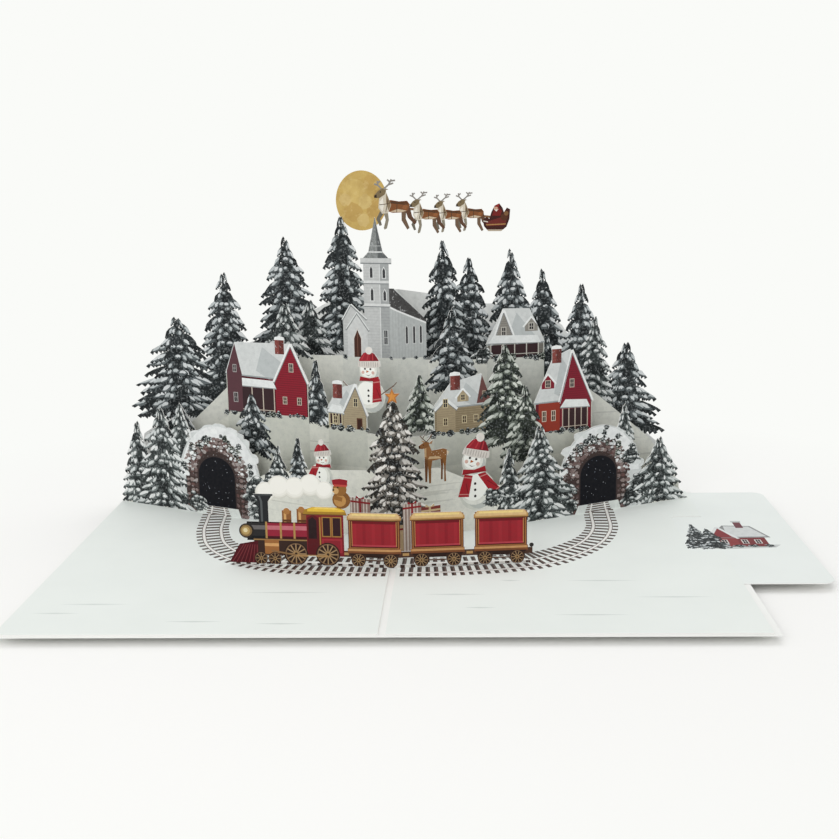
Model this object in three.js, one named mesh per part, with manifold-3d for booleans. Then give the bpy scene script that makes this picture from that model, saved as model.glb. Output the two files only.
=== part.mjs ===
// Pop-up christmas card, standing open: a flat white cover with two printed liners, four folded
// scene sheets one behind the other, a small christmas tree, a train in front, a moon with reindeer
// and sleigh on top, and a note card that pulls out to the right.
// Millimetres, +Z up. The origin is the middle of the spine on the underside, +Y runs to the back.
import * as THREE from 'three';
import { mergeVertices } from 'three/addons/utils/BufferGeometryUtils.js';
import ManifoldModule from 'manifold-3d';

const wasm = await ManifoldModule();
wasm.setup();

// the open cover and what lies flat on it
const card_width = 300;
const card_depth = 200;
const spine_width = 3;
const cover_thickness = 0.3;
const pocket_height = 0.4;
const liner_thickness = 0.3;
const liner_inset = 1;
const liner_side_inset = 3;
const sheet_thickness = 0.4;

// note card, its pocket and the thumb cut over it
const note_length = 104;
const note_width = 140.5;
const note_pull = 36;
const note_corner = 6;
const note_thickness = 0.3;
const note_play = 0.5;
const pocket_rim = 3;
const thumb_depth = 15;
const thumb_width = 56;
const thumb_corner = 4;
const thumb_from_back = 75;

// the folded sheets: how far in front of the card's back edge the fold and both ends stand
const front_stand = { fold_from_back: 86, ends_from_back: 11.1 };
const village_stand = { fold_from_back: 70, ends_from_back: 9.4 };
const church_stand = { fold_from_back: 50, ends_from_back: 6.5 };
const forest_stand = { fold_from_back: 30, ends_from_back: 3.5 };
const tree_stand = { fold_from_back: 103, sweep: 25 };
const train_stand = { fold_from_back: 123, sweep: 5.7 };
const scene_flap = { from: 10, to: 60 };
const tree_flap = { from: 4, to: 15 };
const flap_depth = 5;

// places along the sheets are written for this half width of card
const drawn_half_width = 150;

// spruces: place along the sheet, foot, tip and half width
const bough_pitch = 4.8;
const front_spruces = [
  [-154, 0, 43, 12.5], [-138, 0, 51, 18], [-125, 10, 56, 11], [-66, 19, 39, 7],
  [-54, 24, 44.5, 5.6], [145, 0, 33.5, 15], [76, 0, 46, 17], [59, 4, 38, 8], [124, 30, 53, 7],
];
const village_spruces = [
  [-79, 32, 62, 12], [-42.5, 50, 80, 7], [11.5, 48, 75, 9.3], [55.5, 38, 86.5, 16],
  [66, 28, 65, 11.5], [-122, 29, 54, 13],
];
const church_spruces = [
  [-58.5, 80, 105, 12.5], [27, 64, 103, 12.5], [75, 68, 88, 9],
];
const forest_spruces = [
  [-117.5, 45, 96, 21.5], [-91, 53, 118.5, 14.5], [-57.5, 80, 136, 15.5], [-46, 80, 106, 11],
  [-28.5, 80, 146.5, 13.5], [22, 78, 134.5, 10.5], [35, 72, 126.5, 11], [56, 78, 128.5, 11],
  [72, 72, 118.5, 10.5], [92, 54, 110, 11.5], [99, 50, 94, 10], [115.5, 34, 80, 15.5],
];

// snow lines: the top edge of each sheet's ground, left to right
const front_snow = [[-163, 3], [-120, 9], [-83, 19], [-75, 24], [-53, 29], [0, 34], [22, 33], [38, 25], [70, 16], [160, 4]];
const village_snow = [[-155, 3], [-136, 25], [-110, 41], [-93, 50], [-49, 53], [-36, 48], [71, 43], [102, 40], [130, 25], [153, 5]];
const church_snow = [[-146, 9], [-126, 32], [-99, 56], [-73, 80], [-27, 81], [75, 76], [104, 55], [131, 32], [148, 7]];
const forest_snow = [
  [-145, 9], [-139, 35], [-107, 55], [-97, 79], [-75, 85], [-51, 97], [-27, 110], [0, 111.5], [15, 109],
  [23, 104], [66, 102], [82, 91], [102, 60], [124, 36], [132, 29], [141, 6],
];

// stone tunnel mouths and the snow lying over them
const tunnels = [
  { left: -124, right: -84.5, spring: 22, crown: 40 },
  { left: 88.5, right: 127, spring: 20, crown: 38.5 },
];
const snow_caps = [
  { left: -127, right: -77, spring: 18, crown: 46.5 },
  { left: 86, right: 135, spring: 14, crown: 44 },
];
const shrubs = [
  [-161, 4, 3.4], [-117, 5.5, 5.5], [-80, 16, 7], [-70, 22, 5.5], [134, 12, 6], [128, 26, 5],
  [88, 12, 6.5], [66, 12, 6], [50, 15, 5],
];

// cottages: walls, eaves, the two ends of the roof's ridge, and the chimney's place and top
const village_cottages = [
  { left: -93, right: -47, left_eave: 73, right_eave: 71, ridge: [[-87.5, 87.5], [-56, 88]], chimney: [-62, 91.2] },
  { left: -36.5, right: -15.6, left_eave: 59, right_eave: 57.5, ridge: [[-31, 68], [-21.5, 70.5]], chimney: [-31, 71.5] },
  { left: 18.5, right: 48, left_eave: 59.5, right_eave: 60, ridge: [[27, 70], [43, 73.5]], chimney: [29.5, 75] },
  { left: 71, right: 102, left_eave: 57.5, right_eave: 58.5, ridge: [[80.5, 78], [90, 82]], chimney: [82.7, 84] },
];
const hill_cottage = { left: 44.5, right: 74, left_eave: 86, right_eave: 86, ridge: [[53, 102], [66.5, 101.5]] };
const chimney_width = 5;

// church: tower with cornice and spire, nave behind it, front gable
const tower = { left: -16.6, right: -3.8, top: 125.5, cornice: 1.4, cornice_top: 128.3, spire_tip: 147.5 };
const nave = { right: 14.2, ridge: 114, eave: 98.5 };
const porch = { left: -27.8, gable: -23.5, gable_top: 105.5, left_eave: 99, right: -10.5, right_eave: 94 };
const wall_foot = 30;

// deer and snowmen: balls are place, height, radius
const snowmen = [
  { balls: [[-39.8, 35.5, 4.4], [-41.4, 26.4, 6.9]], hat_tilt: -0.12 },
  { balls: [[40.2, 33.8, 6.4], [41.6, 19.6, 9.6]], hat_tilt: 0.3 },
];
const village_snowman = { balls: [[-13.8, 77, 5.3], [-13.7, 65, 7.9]], hat_tilt: 0 };
const standing_deer = { place: 19.4, foot: 30, height: 19.5 };

// moon, reindeer and sleigh; the stem runs down behind a spruce of the forest
const moon = [-17, 154.3, 14.7];
const reindeer = [[-1.1, 151.6, 1.3], [14.7, 147.8, 1.08], [26, 147.5, 1], [36.7, 148.1, 1]];
const sleigh_place = [48.5, 139.5];
const harness_width = 1.1;
const stem = [[-33.5, 112], [-23.9, 112], [-26.6, 140], [-24, 147], [-30, 147], [-30.6, 140]];

// christmas tree with its star and the presents under it: left, right, top
const fir = [0, 16, 70.5, 18];
const fir_base = 16;
const star = [0, 72.2, 3.9];
const presents = [[-23, -12.5, 24], [-14, -6, 16], [4, 13, 22.5], [12, 22.5, 20]];

// train: engine, three cars and the strip it stands on
const strip_height = 1.4;
const axle_frame = { bottom: 4.6, top: 7.4 };
const car_lefts = [-19.4, 8.3, 36.1];
const car = { length: 22.8, bottom: 6, top: 24.2, wheel: 3.2, wheel_inset: 4.3 };
const boiler = { left: -64.8, right: -36, bottom: 11.2, top: 19.8 };
const cab = { left: -37.9, right: -21.4, roof: 24, roof_top: 27, overhang: 1.6 };
const driving_wheels = [-43, -28.7];
const driving_radius = 5.4;
const leading_wheels = [-58.9, -52.6];
const leading_radius = 3;
const smoke_stack = { place: -57, foot: 4, neck: 2.2, mouth: 4.4, flare: 29, top: 32.4 };
const domes = [[-46.6, 25.2], [-40, 26]];
const dome_width = 4.2;
const cow_catcher = [[-73.4, 0.8], [-68.4, 9.4], [-60, 11], [-60, 0.8]];
const smoke = [[-55.5, 33.2, 4.6], [-49.4, 35.6, 5.2], [-42.4, 35.2, 5], [-35.4, 36.6, 5], [-29.4, 34.4, 4.2]];
const bear = [[-22, 30.4, 4], [-22.6, 35.2, 3.1]];

// levels and edges worked out from the sizes above
const half_width = card_width / 2;
const half_depth = card_depth / 2;
const board_top = cover_thickness + pocket_height + liner_thickness;
const note_back = half_depth - pocket_rim - note_play;
const note_front = note_back - note_width;
const note_right = half_width + note_pull;
const pocket_left = note_right - note_length - note_pull - pocket_rim;
const liner_near = spine_width / 2;
const liner_far = half_width - liner_side_inset;
const liner_front = -half_depth + liner_inset;
const liner_back = half_depth - liner_inset;

// turns a three.js geometry into a solid
function solid(geometry) {
  const bare = new THREE.BufferGeometry();
  bare.setAttribute('position', geometry.getAttribute('position'));
  bare.setIndex(geometry.index);
  const welded = mergeVertices(bare, 1e-5);
  return new wasm.Manifold(new wasm.Mesh({
    numProp: 3,
    vertProperties: Float32Array.from(welded.getAttribute('position').array),
    triVerts: Uint32Array.from(welded.index.array),
  }));
}

// turns a solid back into a three.js geometry
function skin(body) {
  const mesh = body.getMesh();
  const geometry = new THREE.BufferGeometry();
  geometry.setAttribute('position', new THREE.BufferAttribute(Float32Array.from(mesh.vertProperties), 3));
  geometry.setIndex(new THREE.BufferAttribute(Uint32Array.from(mesh.triVerts), 1));
  return geometry;
}

function join(bodies) {
  return bodies.reduce((whole, body) => whole.add(body));
}

function outline(points) {
  return new THREE.Shape(points.map(([x, y]) => new THREE.Vector2(x, y)));
}

// an upright plate: the outline runs along the sheet and up, the thickness runs back from `behind`
function plate(points, behind = 0) {
  const geometry = new THREE.ExtrudeGeometry(outline(points), { depth: sheet_thickness, bevelEnabled: false });
  geometry.translate(0, 0, -sheet_thickness - behind);
  geometry.rotateX(Math.PI / 2);
  return solid(geometry);
}

// a flat panel lying at the given height
function panel(points, bottom, thickness) {
  const geometry = new THREE.ExtrudeGeometry(outline(points), { depth: thickness, bevelEnabled: false });
  geometry.translate(0, 0, bottom);
  return solid(geometry);
}

// a place drawn for the standard card, moved with the card's width
function along(place) {
  return (place * half_width) / drawn_half_width;
}

function moved(points, x, y, grow = 1) {
  return points.map(([px, py]) => [x + px * grow, y + py * grow]);
}

function rectangle(left, right, low, high) {
  return [[left, low], [right, low], [right, high], [left, high]];
}

function arc(x, y, radius, from, to, steps) {
  return Array.from({ length: steps + 1 }, (_, i) => {
    const turn = THREE.MathUtils.degToRad(from + ((to - from) * i) / steps);
    return [x + radius * Math.cos(turn), y + radius * Math.sin(turn)];
  });
}

function disc([x, y, radius], sides = 20) {
  return arc(x, y, radius, 0, 360 - 360 / sides, sides - 1);
}

function ball([place, height, radius], sides = 20) {
  return disc([along(place), height, radius], sides);
}

// tiered spruce: drooping bough tips on both sides, on a stem that runs down into the snow
function spruce([place, foot, tip, half]) {
  const rows = Math.max(5, Math.round((tip - foot) / bough_pitch));
  const row = (tip - foot) / rows;
  const stem = Math.min(half * 0.3, row);
  const side = (way, odd_reach, even_reach) => {
    const points = [];
    for (let i = 1; i <= rows; i += 1) {
      const reach = way * half * (i / rows) ** 0.82 * (i % 2 ? odd_reach : even_reach);
      points.push([reach, tip - row * i], [reach * 0.74, tip - row * (i - 0.12)]);
    }
    return points;
  };
  const base = foot > 0 ? [[stem, 0], [-stem, 0]] : [];
  const points = [[0, tip], ...side(1, 0.88, 1), ...base, ...side(-1, 1, 0.88).reverse()];
  return moved(points, along(place), 0);
}

// the ground of a sheet, from its foot up to the snow line
function ground(snow) {
  const line = snow.map(([place, height]) => [along(place), height]);
  return [[line[0][0], 0], [line[line.length - 1][0], 0], ...line.reverse()];
}

// straight legs with a half ellipse over them
function archway({ left, right, spring, crown }) {
  const middle = along((left + right) / 2);
  const half = (right - left) / 2;
  const top = arc(0, 0, 1, 0, 180, 12).map(([x, y]) => [middle + x * half, spring + y * (crown - spring)]);
  return [[middle - half, 0], [middle + half, 0], ...top];
}

function cottage({ left, right, left_eave, right_eave, ridge, chimney }) {
  const middle = (left + right) / 2;
  const walls = [[left, wall_foot], [right, wall_foot], [right, right_eave], ridge[1], ridge[0], [left, left_eave]];
  const shapes = [walls];
  if (chimney) {
    const [place, top] = chimney;
    shapes.push(rectangle(place - chimney_width / 2, place + chimney_width / 2, left_eave, top));
  }
  return shapes.map((points) => moved(points, along(middle) - middle, 0));
}

// tower, cornice, spire, nave and front gable
function church() {
  const { left, right, top, cornice, cornice_top, spire_tip } = tower;
  const axis = (left + right) / 2;
  const half = (right - left) / 2;
  const flare = (spire_tip - cornice_top) * 0.15;
  return [
    rectangle(left, right, wall_foot, cornice_top),
    rectangle(left - cornice, right + cornice, top, cornice_top),
    [[axis - half, cornice_top], [axis + half, cornice_top], [axis + half * 0.56, cornice_top + flare],
      [axis + half * 0.36, cornice_top + 3 * flare], [axis, spire_tip], [axis - half * 0.36, cornice_top + 3 * flare],
      [axis - half * 0.56, cornice_top + flare]],
    [[right - 1, wall_foot], [nave.right, wall_foot], [nave.right, nave.eave], [right + 2.6, nave.ridge],
      [right - 1, nave.ridge]],
    [[porch.left, wall_foot], [porch.right, wall_foot], [porch.right, porch.right_eave],
      [porch.gable, porch.gable_top], [porch.left, porch.left_eave]],
  ];
}

// two snowballs and a knitted hat with its bobble, leaning by the tilt
function snowman({ balls, hat_tilt }) {
  const [place, height, radius] = balls[0];
  const lean = (points) => points.map(([x, y]) => {
    const [across, up] = [x * radius, y * radius];
    return [along(place) + across * Math.cos(hat_tilt) + up * Math.sin(hat_tilt),
      height + up * Math.cos(hat_tilt) - across * Math.sin(hat_tilt)];
  });
  const hat = lean([[-1.05, 0.45], [1.05, 0.45], [0.95, 1.05], [0.55, 1.6], [0, 1.8], [-0.55, 1.6], [-0.95, 1.05]]);
  return [...balls.map((each) => ball(each)), hat, lean(disc([0, 1.85, 0.34], 10))];
}

// a young deer standing, facing left: legs, trunk, neck and head with ears
function deer({ place, foot, height }) {
  const points = [
    [-0.27, -0.2], [-0.22, 0.5], [-0.3, 0.62], [-0.42, 0.66], [-0.4, 0.74], [-0.27, 0.8], [-0.36, 0.97], [-0.21, 0.84],
    [-0.08, 1], [-0.12, 0.8], [-0.08, 0.62], [0.24, 0.62], [0.34, 0.66], [0.32, 0.5], [0.3, -0.2], [0.22, -0.2],
    [0.2, 0.36], [-0.1, 0.38], [-0.18, -0.2],
  ];
  return moved(points, along(place), foot, height);
}

function star_outline([x, y, radius]) {
  const points = [];
  for (let i = 0; i < 10; i += 1) {
    points.push(arc(x, y, i % 2 ? radius * 0.45 : radius, 90 + i * 36, 90 + i * 36, 1)[0]);
  }
  return points;
}

// one leaping reindeer facing left: trunk, neck with head, antlers, forelegs and hind legs
function reindeer_outlines([x, z, size]) {
  const shapes = [
    [[-4.6, -1], [-3.4, -2.8], [0, -2], [4, -2.2], [4.6, 0], [3.4, 1.6], [0, 1], [-3, 1.4]],
    [[-4.4, -1], [-2.4, 1.2], [-5, 5], [-6.6, 5.6], [-8.4, 4.2], [-8.2, 3], [-6, 3.4]],
    [[-6.2, 5], [-5, 4.6], [-3.4, 8.4], [-4.2, 7], [-4.8, 9.2], [-6, 9.6], [-6.6, 7.2], [-7.2, 8.4], [-8.4, 8]],
    [[-4.4, -1.4], [-7.6, -4], [-6.8, -7.2], [-5.6, -7], [-6, -4.4], [-2.4, -2.4]],
    [[-3, -1.6], [-4.6, -6], [-3.4, -8.8], [-2.2, -8.4], [-3, -5.8], [-0.8, -1.8]],
    [[1.4, -1.4], [2.2, -5], [4.4, -8.6], [5.4, -8], [3.8, -4.8], [4.2, -1]],
    [[2.8, -0.8], [5, -4], [8, -5.8], [8.4, -4.8], [6.4, -3], [4.8, 0.2]],
  ];
  return shapes.map((points) => moved(points, x, z, size));
}

// sleigh with its curled front to the left and a rider's back above the seat
function sleigh_outline([x, z]) {
  return moved([
    [-4.1, 0], [2.1, 0], [4.7, 2.1], [6.1, 5.7], [6.5, 10.3], [4.9, 11.1], [3.5, 8.9], [2.9, 10.9], [1.3, 13.1],
    [-0.9, 12.1], [-2.5, 9.1], [-3.5, 5.9], [-5.1, 6.7], [-6.7, 5.1], [-6.1, 2.3],
  ], x, z);
}

// folds a flat sheet on the line x = 0: both wings turn back by the sweep, the fold stays a mitre
function fold(body, sweep) {
  const source = skin(body);
  const place = source.getAttribute('position').array;
  const face = source.index.array;
  const points = [];
  for (let i = 0; i < place.length; i += 3) {
    points.push([Math.abs(place[i]) < 1e-4 ? 0 : place[i], place[i + 1], place[i + 2]]);
  }
  const cuts = new Map();
  const crossing = (a, b) => {
    const [low, high] = a < b ? [a, b] : [b, a];
    const key = `${low},${high}`;
    if (!cuts.has(key)) {
      const [p, q] = [points[low], points[high]];
      const t = p[0] / (p[0] - q[0]);
      cuts.set(key, points.push([0, p[1] + t * (q[1] - p[1]), p[2] + t * (q[2] - p[2])]) - 1);
    }
    return cuts.get(key);
  };
  const faces = [];
  for (let i = 0; i < face.length; i += 3) {
    const ring = [];
    for (let k = 0; k < 3; k += 1) {
      const [here, next] = [face[i + k], face[i + ((k + 1) % 3)]];
      ring.push(here);
      if (points[here][0] * points[next][0] < 0) {
        ring.push(crossing(here, next));
      }
    }
    const parts = ring.length === 3 ? [ring]
      : [-1, 1].map((side) => ring.filter((corner) => points[corner][0] * side >= 0));
    for (const part of parts) {
      for (let k = 2; k < part.length; k += 1) {
        faces.push(part[0], part[k - 1], part[k]);
      }
    }
  }
  const bent = points.flatMap(([x, y, z]) => {
    const side = Math.sign(x);
    return side === 0 ? [0, y / Math.cos(sweep), z]
      : [x * Math.cos(sweep) - side * y * Math.sin(sweep), Math.abs(x) * Math.sin(sweep) + y * Math.cos(sweep), z];
  });
  const geometry = new THREE.BufferGeometry();
  geometry.setAttribute('position', new THREE.Float32BufferAttribute(bent, 3));
  geometry.setIndex(faces);
  return solid(geometry);
}

// glue flaps folded back from the foot of both wings, lying on the liners
function flaps({ from, to }, sweep) {
  return [-1, 1].map((side) => {
    const strip = new THREE.BoxGeometry(to - from, flap_depth, sheet_thickness);
    strip.translate((side * (from + to)) / 2, flap_depth / 2, sheet_thickness / 2);
    strip.rotateZ(side * sweep);
    return solid(strip);
  });
}

// a folded sheet: all its outlines as one die-cut plate, folded and standing on the liners
function folded_sheet(outlines, fold_from_back, sweep, flap) {
  const flat = join(outlines.map((points) => plate(points)));
  return join([fold(flat, sweep), ...flaps(flap, sweep)]).translate([0, half_depth - fold_from_back, board_top]);
}

function sweep_of({ fold_from_back, ends_from_back }) {
  return Math.atan2(fold_from_back - ends_from_back, half_width);
}

function scene_sheet(outlines, stand) {
  return folded_sheet(outlines, stand.fold_from_back, sweep_of(stand), scene_flap);
}

function cover() {
  return panel(rectangle(-half_width, half_width, -half_depth, half_depth), 0, cover_thickness);
}

function left_liner() {
  const points = rectangle(liner_inset - half_width, -liner_near, liner_front, liner_back);
  return panel(points, cover_thickness, pocket_height + liner_thickness);
}

// glued strips round three sides of the pocket that the note card slides in
function pocket_spacer() {
  return panel([
    [liner_near, liner_front], [liner_far, liner_front], [liner_far, note_front - note_play],
    [pocket_left, note_front - note_play], [pocket_left, note_back + note_play],
    [liner_far, note_back + note_play], [liner_far, liner_back], [liner_near, liner_back],
  ], cover_thickness, pocket_height);
}

// right liner with the shallow round-cornered thumb cut in its outer edge
function right_liner() {
  const inner = liner_far - thumb_depth;
  const middle = half_depth - thumb_from_back;
  const front = middle - thumb_width / 2;
  const back = middle + thumb_width / 2;
  return panel([
    [liner_near, liner_front], [liner_far, liner_front], [liner_far, front],
    ...arc(inner + thumb_corner, front + thumb_corner, thumb_corner, 270, 180, 4),
    ...arc(inner + thumb_corner, back - thumb_corner, thumb_corner, 180, 90, 4),
    [liner_far, back], [liner_far, liner_back], [liner_near, liner_back],
  ], cover_thickness + pocket_height, liner_thickness);
}

function note_card() {
  const corner_x = note_right - note_corner;
  return panel([
    [note_right - note_length, note_front],
    ...arc(corner_x, note_front + note_corner, note_corner, 270, 360, 6),
    ...arc(corner_x, note_back - note_corner, note_corner, 0, 90, 6),
    [note_right - note_length, note_back],
  ], cover_thickness + (pocket_height - note_thickness) / 2, note_thickness);
}

function front_scene() {
  return scene_sheet([
    ground(front_snow), ...tunnels.map(archway), ...snow_caps.map(archway), deer(standing_deer),
    ...snowmen.flatMap(snowman), ...shrubs.map((shrub) => ball(shrub, 12)), ...front_spruces.map(spruce),
  ], front_stand);
}

function village_scene() {
  return scene_sheet([
    ground(village_snow), ...village_cottages.flatMap(cottage), ...snowman(village_snowman),
    ...village_spruces.map(spruce),
  ], village_stand);
}

function church_scene() {
  return scene_sheet([
    ground(church_snow), ...church(), ...cottage(hill_cottage), ...church_spruces.map(spruce),
  ], church_stand);
}

function forest_scene() {
  return scene_sheet([ground(forest_snow), ...forest_spruces.map(spruce)], forest_stand);
}

// moon, reindeer and sleigh in one flat sheet, its stem glued behind the forest's left wing
function moon_and_sleigh() {
  const [first, last] = [reindeer[0], sleigh_place];
  const harness = [
    [first[0], first[1] - harness_width], [last[0], last[1] + 7 - harness_width], [last[0], last[1] + 7],
    [first[0], first[1]],
  ];
  const outlines = [
    disc(moon, 40), stem, sleigh_outline(sleigh_place), harness, ...reindeer.flatMap(reindeer_outlines),
  ];
  const turn = -THREE.MathUtils.radToDeg(sweep_of(forest_stand));
  return join(outlines.map((points) => plate(points, sheet_thickness)))
    .rotate([0, 0, turn])
    .translate([0, half_depth - forest_stand.fold_from_back, board_top]);
}

function christmas_tree() {
  const boxes = presents.map(([left, right, top]) => rectangle(left, right, 0, top));
  const base = rectangle(-fir_base, fir_base, 0, strip_height * 4);
  const outlines = [spruce(fir), star_outline(star), base, ...boxes];
  return folded_sheet(outlines, tree_stand.fold_from_back, THREE.MathUtils.degToRad(tree_stand.sweep), tree_flap);
}

function engine() {
  const { place, foot, neck, mouth, flare, top } = smoke_stack;
  return [
    rectangle(boiler.left, boiler.right, boiler.bottom, boiler.top),
    rectangle(boiler.left + 3, cab.right, axle_frame.bottom, boiler.bottom + 1),
    rectangle(cab.left, cab.right, axle_frame.bottom, cab.roof),
    rectangle(cab.left - cab.overhang, cab.right + cab.overhang, cab.roof - 0.6, cab.roof_top),
    [[place - neck, boiler.top - foot], [place + neck, boiler.top - foot], [place + neck, flare],
      [place + mouth, top], [place - mouth, top], [place - neck, flare]],
    ...domes.map(([middle, high]) => rectangle(middle - dome_width / 2, middle + dome_width / 2, boiler.bottom, high)),
    cow_catcher,
    ...driving_wheels.map((middle) => disc([middle, driving_radius, driving_radius], 24)),
    ...leading_wheels.map((middle) => disc([middle, leading_radius, leading_radius])),
    ...smoke.map((puff) => disc(puff, 16)),
    ...bear.map((lump) => disc(lump, 14)),
  ];
}

function cars() {
  return car_lefts.flatMap((left) => [
    rectangle(left, left + car.length, car.bottom, car.top),
    ...[left + car.wheel_inset, left + car.length - car.wheel_inset]
      .map((middle) => disc([middle, car.wheel, car.wheel])),
  ]);
}

function train() {
  const last_car = car_lefts[car_lefts.length - 1];
  const rear = last_car + car.length + 2.4;
  const outlines = [
    rectangle(cow_catcher[0][0] + 2, rear, 0, strip_height),
    rectangle(cab.right, rear, axle_frame.bottom, axle_frame.top),
    ...engine(),
    ...cars(),
  ];
  return folded_sheet(outlines, train_stand.fold_from_back, THREE.MathUtils.degToRad(train_stand.sweep), scene_flap);
}

const pieces = [
  ['cover', cover, 0xf2f4f2],
  ['left_liner', left_liner, 0xe3e9e6],
  ['right_liner', right_liner, 0xe3e9e6],
  ['pocket_spacer', pocket_spacer, 0xf0f1ef],
  ['note_card', note_card, 0xe8ecea],
  ['front_scene', front_scene, 0xb9bfba],
  ['village_scene', village_scene, 0xc7ccc8],
  ['church_scene', church_scene, 0xd3d7d4],
  ['forest_scene', forest_scene, 0x6d756f],
  ['moon_and_sleigh', moon_and_sleigh, 0xc9a45c],
  ['christmas_tree', christmas_tree, 0x56604f],
  ['train', train, 0x8e2a30],
];

const pop_up_card = new THREE.Group();
for (const [name, make, color] of pieces) {
  const material = new THREE.MeshStandardMaterial({ color, roughness: 0.75, metalness: 0 });
  const mesh = new THREE.Mesh(skin(make()), material);
  mesh.name = name;
  pop_up_card.add(mesh);
}

export default pop_up_card;
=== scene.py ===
# Pop-up christmas card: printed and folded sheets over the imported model, on a pale table.
import math
import random
import bmesh
import bpy
from mathutils import Matrix, Vector
from mathutils.geometry import delaunay_2d_cdt


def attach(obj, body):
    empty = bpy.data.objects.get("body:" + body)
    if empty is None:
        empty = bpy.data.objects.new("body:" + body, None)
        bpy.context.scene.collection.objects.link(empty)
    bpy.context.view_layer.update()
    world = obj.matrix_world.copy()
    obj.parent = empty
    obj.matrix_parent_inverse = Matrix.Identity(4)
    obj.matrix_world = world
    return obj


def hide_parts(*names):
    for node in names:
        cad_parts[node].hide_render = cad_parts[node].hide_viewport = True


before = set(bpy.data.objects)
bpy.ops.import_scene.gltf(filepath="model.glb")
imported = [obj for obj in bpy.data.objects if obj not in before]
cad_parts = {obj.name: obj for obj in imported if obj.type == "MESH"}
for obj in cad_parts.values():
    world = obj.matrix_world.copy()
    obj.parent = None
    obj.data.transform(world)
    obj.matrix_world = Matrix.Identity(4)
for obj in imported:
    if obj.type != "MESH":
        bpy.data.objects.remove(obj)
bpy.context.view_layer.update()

# sizes in millimetres, the same values as the model
MM = 0.001
HALF_WIDTH = 150.0
HALF_DEPTH = 100.0
SHEET = 0.4
BOARD_TOP = 1.0
NOTE_TOP = 0.65
NOTE_THICKNESS = 0.3
BOUGH_PITCH = 4.8
FLAP_DEPTH = 5.0

# fold and ends of each folded sheet, from the card's back edge, and its glue flaps
STANDS = {
    "front_scene": (86, math.atan2(86 - 11.1, HALF_WIDTH), (10, 60)),
    "village_scene": (70, math.atan2(70 - 9.4, HALF_WIDTH), (10, 60)),
    "church_scene": (50, math.atan2(50 - 6.5, HALF_WIDTH), (10, 60)),
    "forest_scene": (30, math.atan2(30 - 3.5, HALF_WIDTH), (10, 60)),
    "christmas_tree": (103, math.radians(25), (4, 15)),
    "train": (123, math.radians(5.7), (10, 60)),
}

# the camera stands where the photograph was taken from
CAMERA_PLACE = (34.2, -545.0, 180.2)
CAMERA_YAW = math.radians(2.35)
CAMERA_PITCH = math.radians(12.2)
CAMERA_ROLL = math.radians(1.05)
FOCAL_PIXELS = 1258.0
FRAME_PIXELS = 839.0
TABLE_LEVEL = -3.2

KINDS = ["flat_print", "plain_print", "needle_print", "snow_print", "stone_print", "card_core", "moon_print"]


def tone(code):
    """A printed colour from its six-digit code, as linear light."""
    parts = [int(code[i:i + 2], 16) / 255 for i in (0, 2, 4)]
    return tuple(p / 12.92 if p <= 0.04045 else ((p + 0.055) / 1.055) ** 2.4 for p in parts)


class Drawing:
    """Printed shapes in the order they are laid down; cut ones also belong to the die-cut outline."""

    def __init__(self, standing=True):
        self.shapes = []
        self.standing = standing

    def add(self, points, colour, kind="flat_print", cut=False):
        if self.standing:
            points = [(x, max(0.0, z)) for x, z in points]
        area = sum(a[0] * b[1] - b[0] * a[1] for a, b in zip(points, points[1:] + points[:1]))
        if abs(area) < 1e-5:
            return
        ring = list(points) if area > 0 else list(points)[::-1]
        self.shapes.append((ring, tone(colour), KINDS.index(kind), cut))

    def cut(self, points, colour, kind="flat_print"):
        self.add(points, colour, kind, True)

    def line(self, start, end, width, colour, kind="flat_print", cut=False):
        (x0, y0), (x1, y1) = start, end
        length = math.hypot(x1 - x0, y1 - y0) or 1
        nx, ny = -(y1 - y0) / length * width / 2, (x1 - x0) / length * width / 2
        self.add([(x0 + nx, y0 + ny), (x0 - nx, y0 - ny), (x1 - nx, y1 - ny), (x1 + nx, y1 + ny)], colour, kind, cut)


def box(left, right, low, high):
    return [(left, low), (right, low), (right, high), (left, high)]


def arc(x, y, radius, start, end, steps, squeeze=1.0):
    turns = [math.radians(start + (end - start) * i / steps) for i in range(steps + 1)]
    return [(x + radius * math.cos(t), y + radius * squeeze * math.sin(t)) for t in turns]


def disc(x, y, radius, sides=20, squeeze=1.0):
    return arc(x, y, radius, 0, 360 - 360 / sides, sides - 1, squeeze)


def moved(points, x, y, grow=1.0):
    return [(x + px * grow, y + py * grow) for px, py in points]


def wobble(points, amount, rng):
    return [(x + rng.uniform(-amount, amount), y + rng.uniform(-amount, amount)) for x, y in points]


# spruces and bushes

NEEDLES = {
    "dark": (("232829", "2f3436", "191d1f"), ("bfc5c6", "d6dadb", "5d6466"), 0.66),
    "pale": (("2b3030", "3b4140", "1f2323"), ("d0d4d3", "e3e5e4", "727978"), 0.82),
    "green": (("2a3029", "363c33", "1e231d"), ("bac0b7", "d5d9d1", "62695f"), 0.7),
    "warm": (("2a2621", "37322b", "1c1916"), ("cbc7c1", "e6e3de", "76716a"), 0.7),
}


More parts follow.
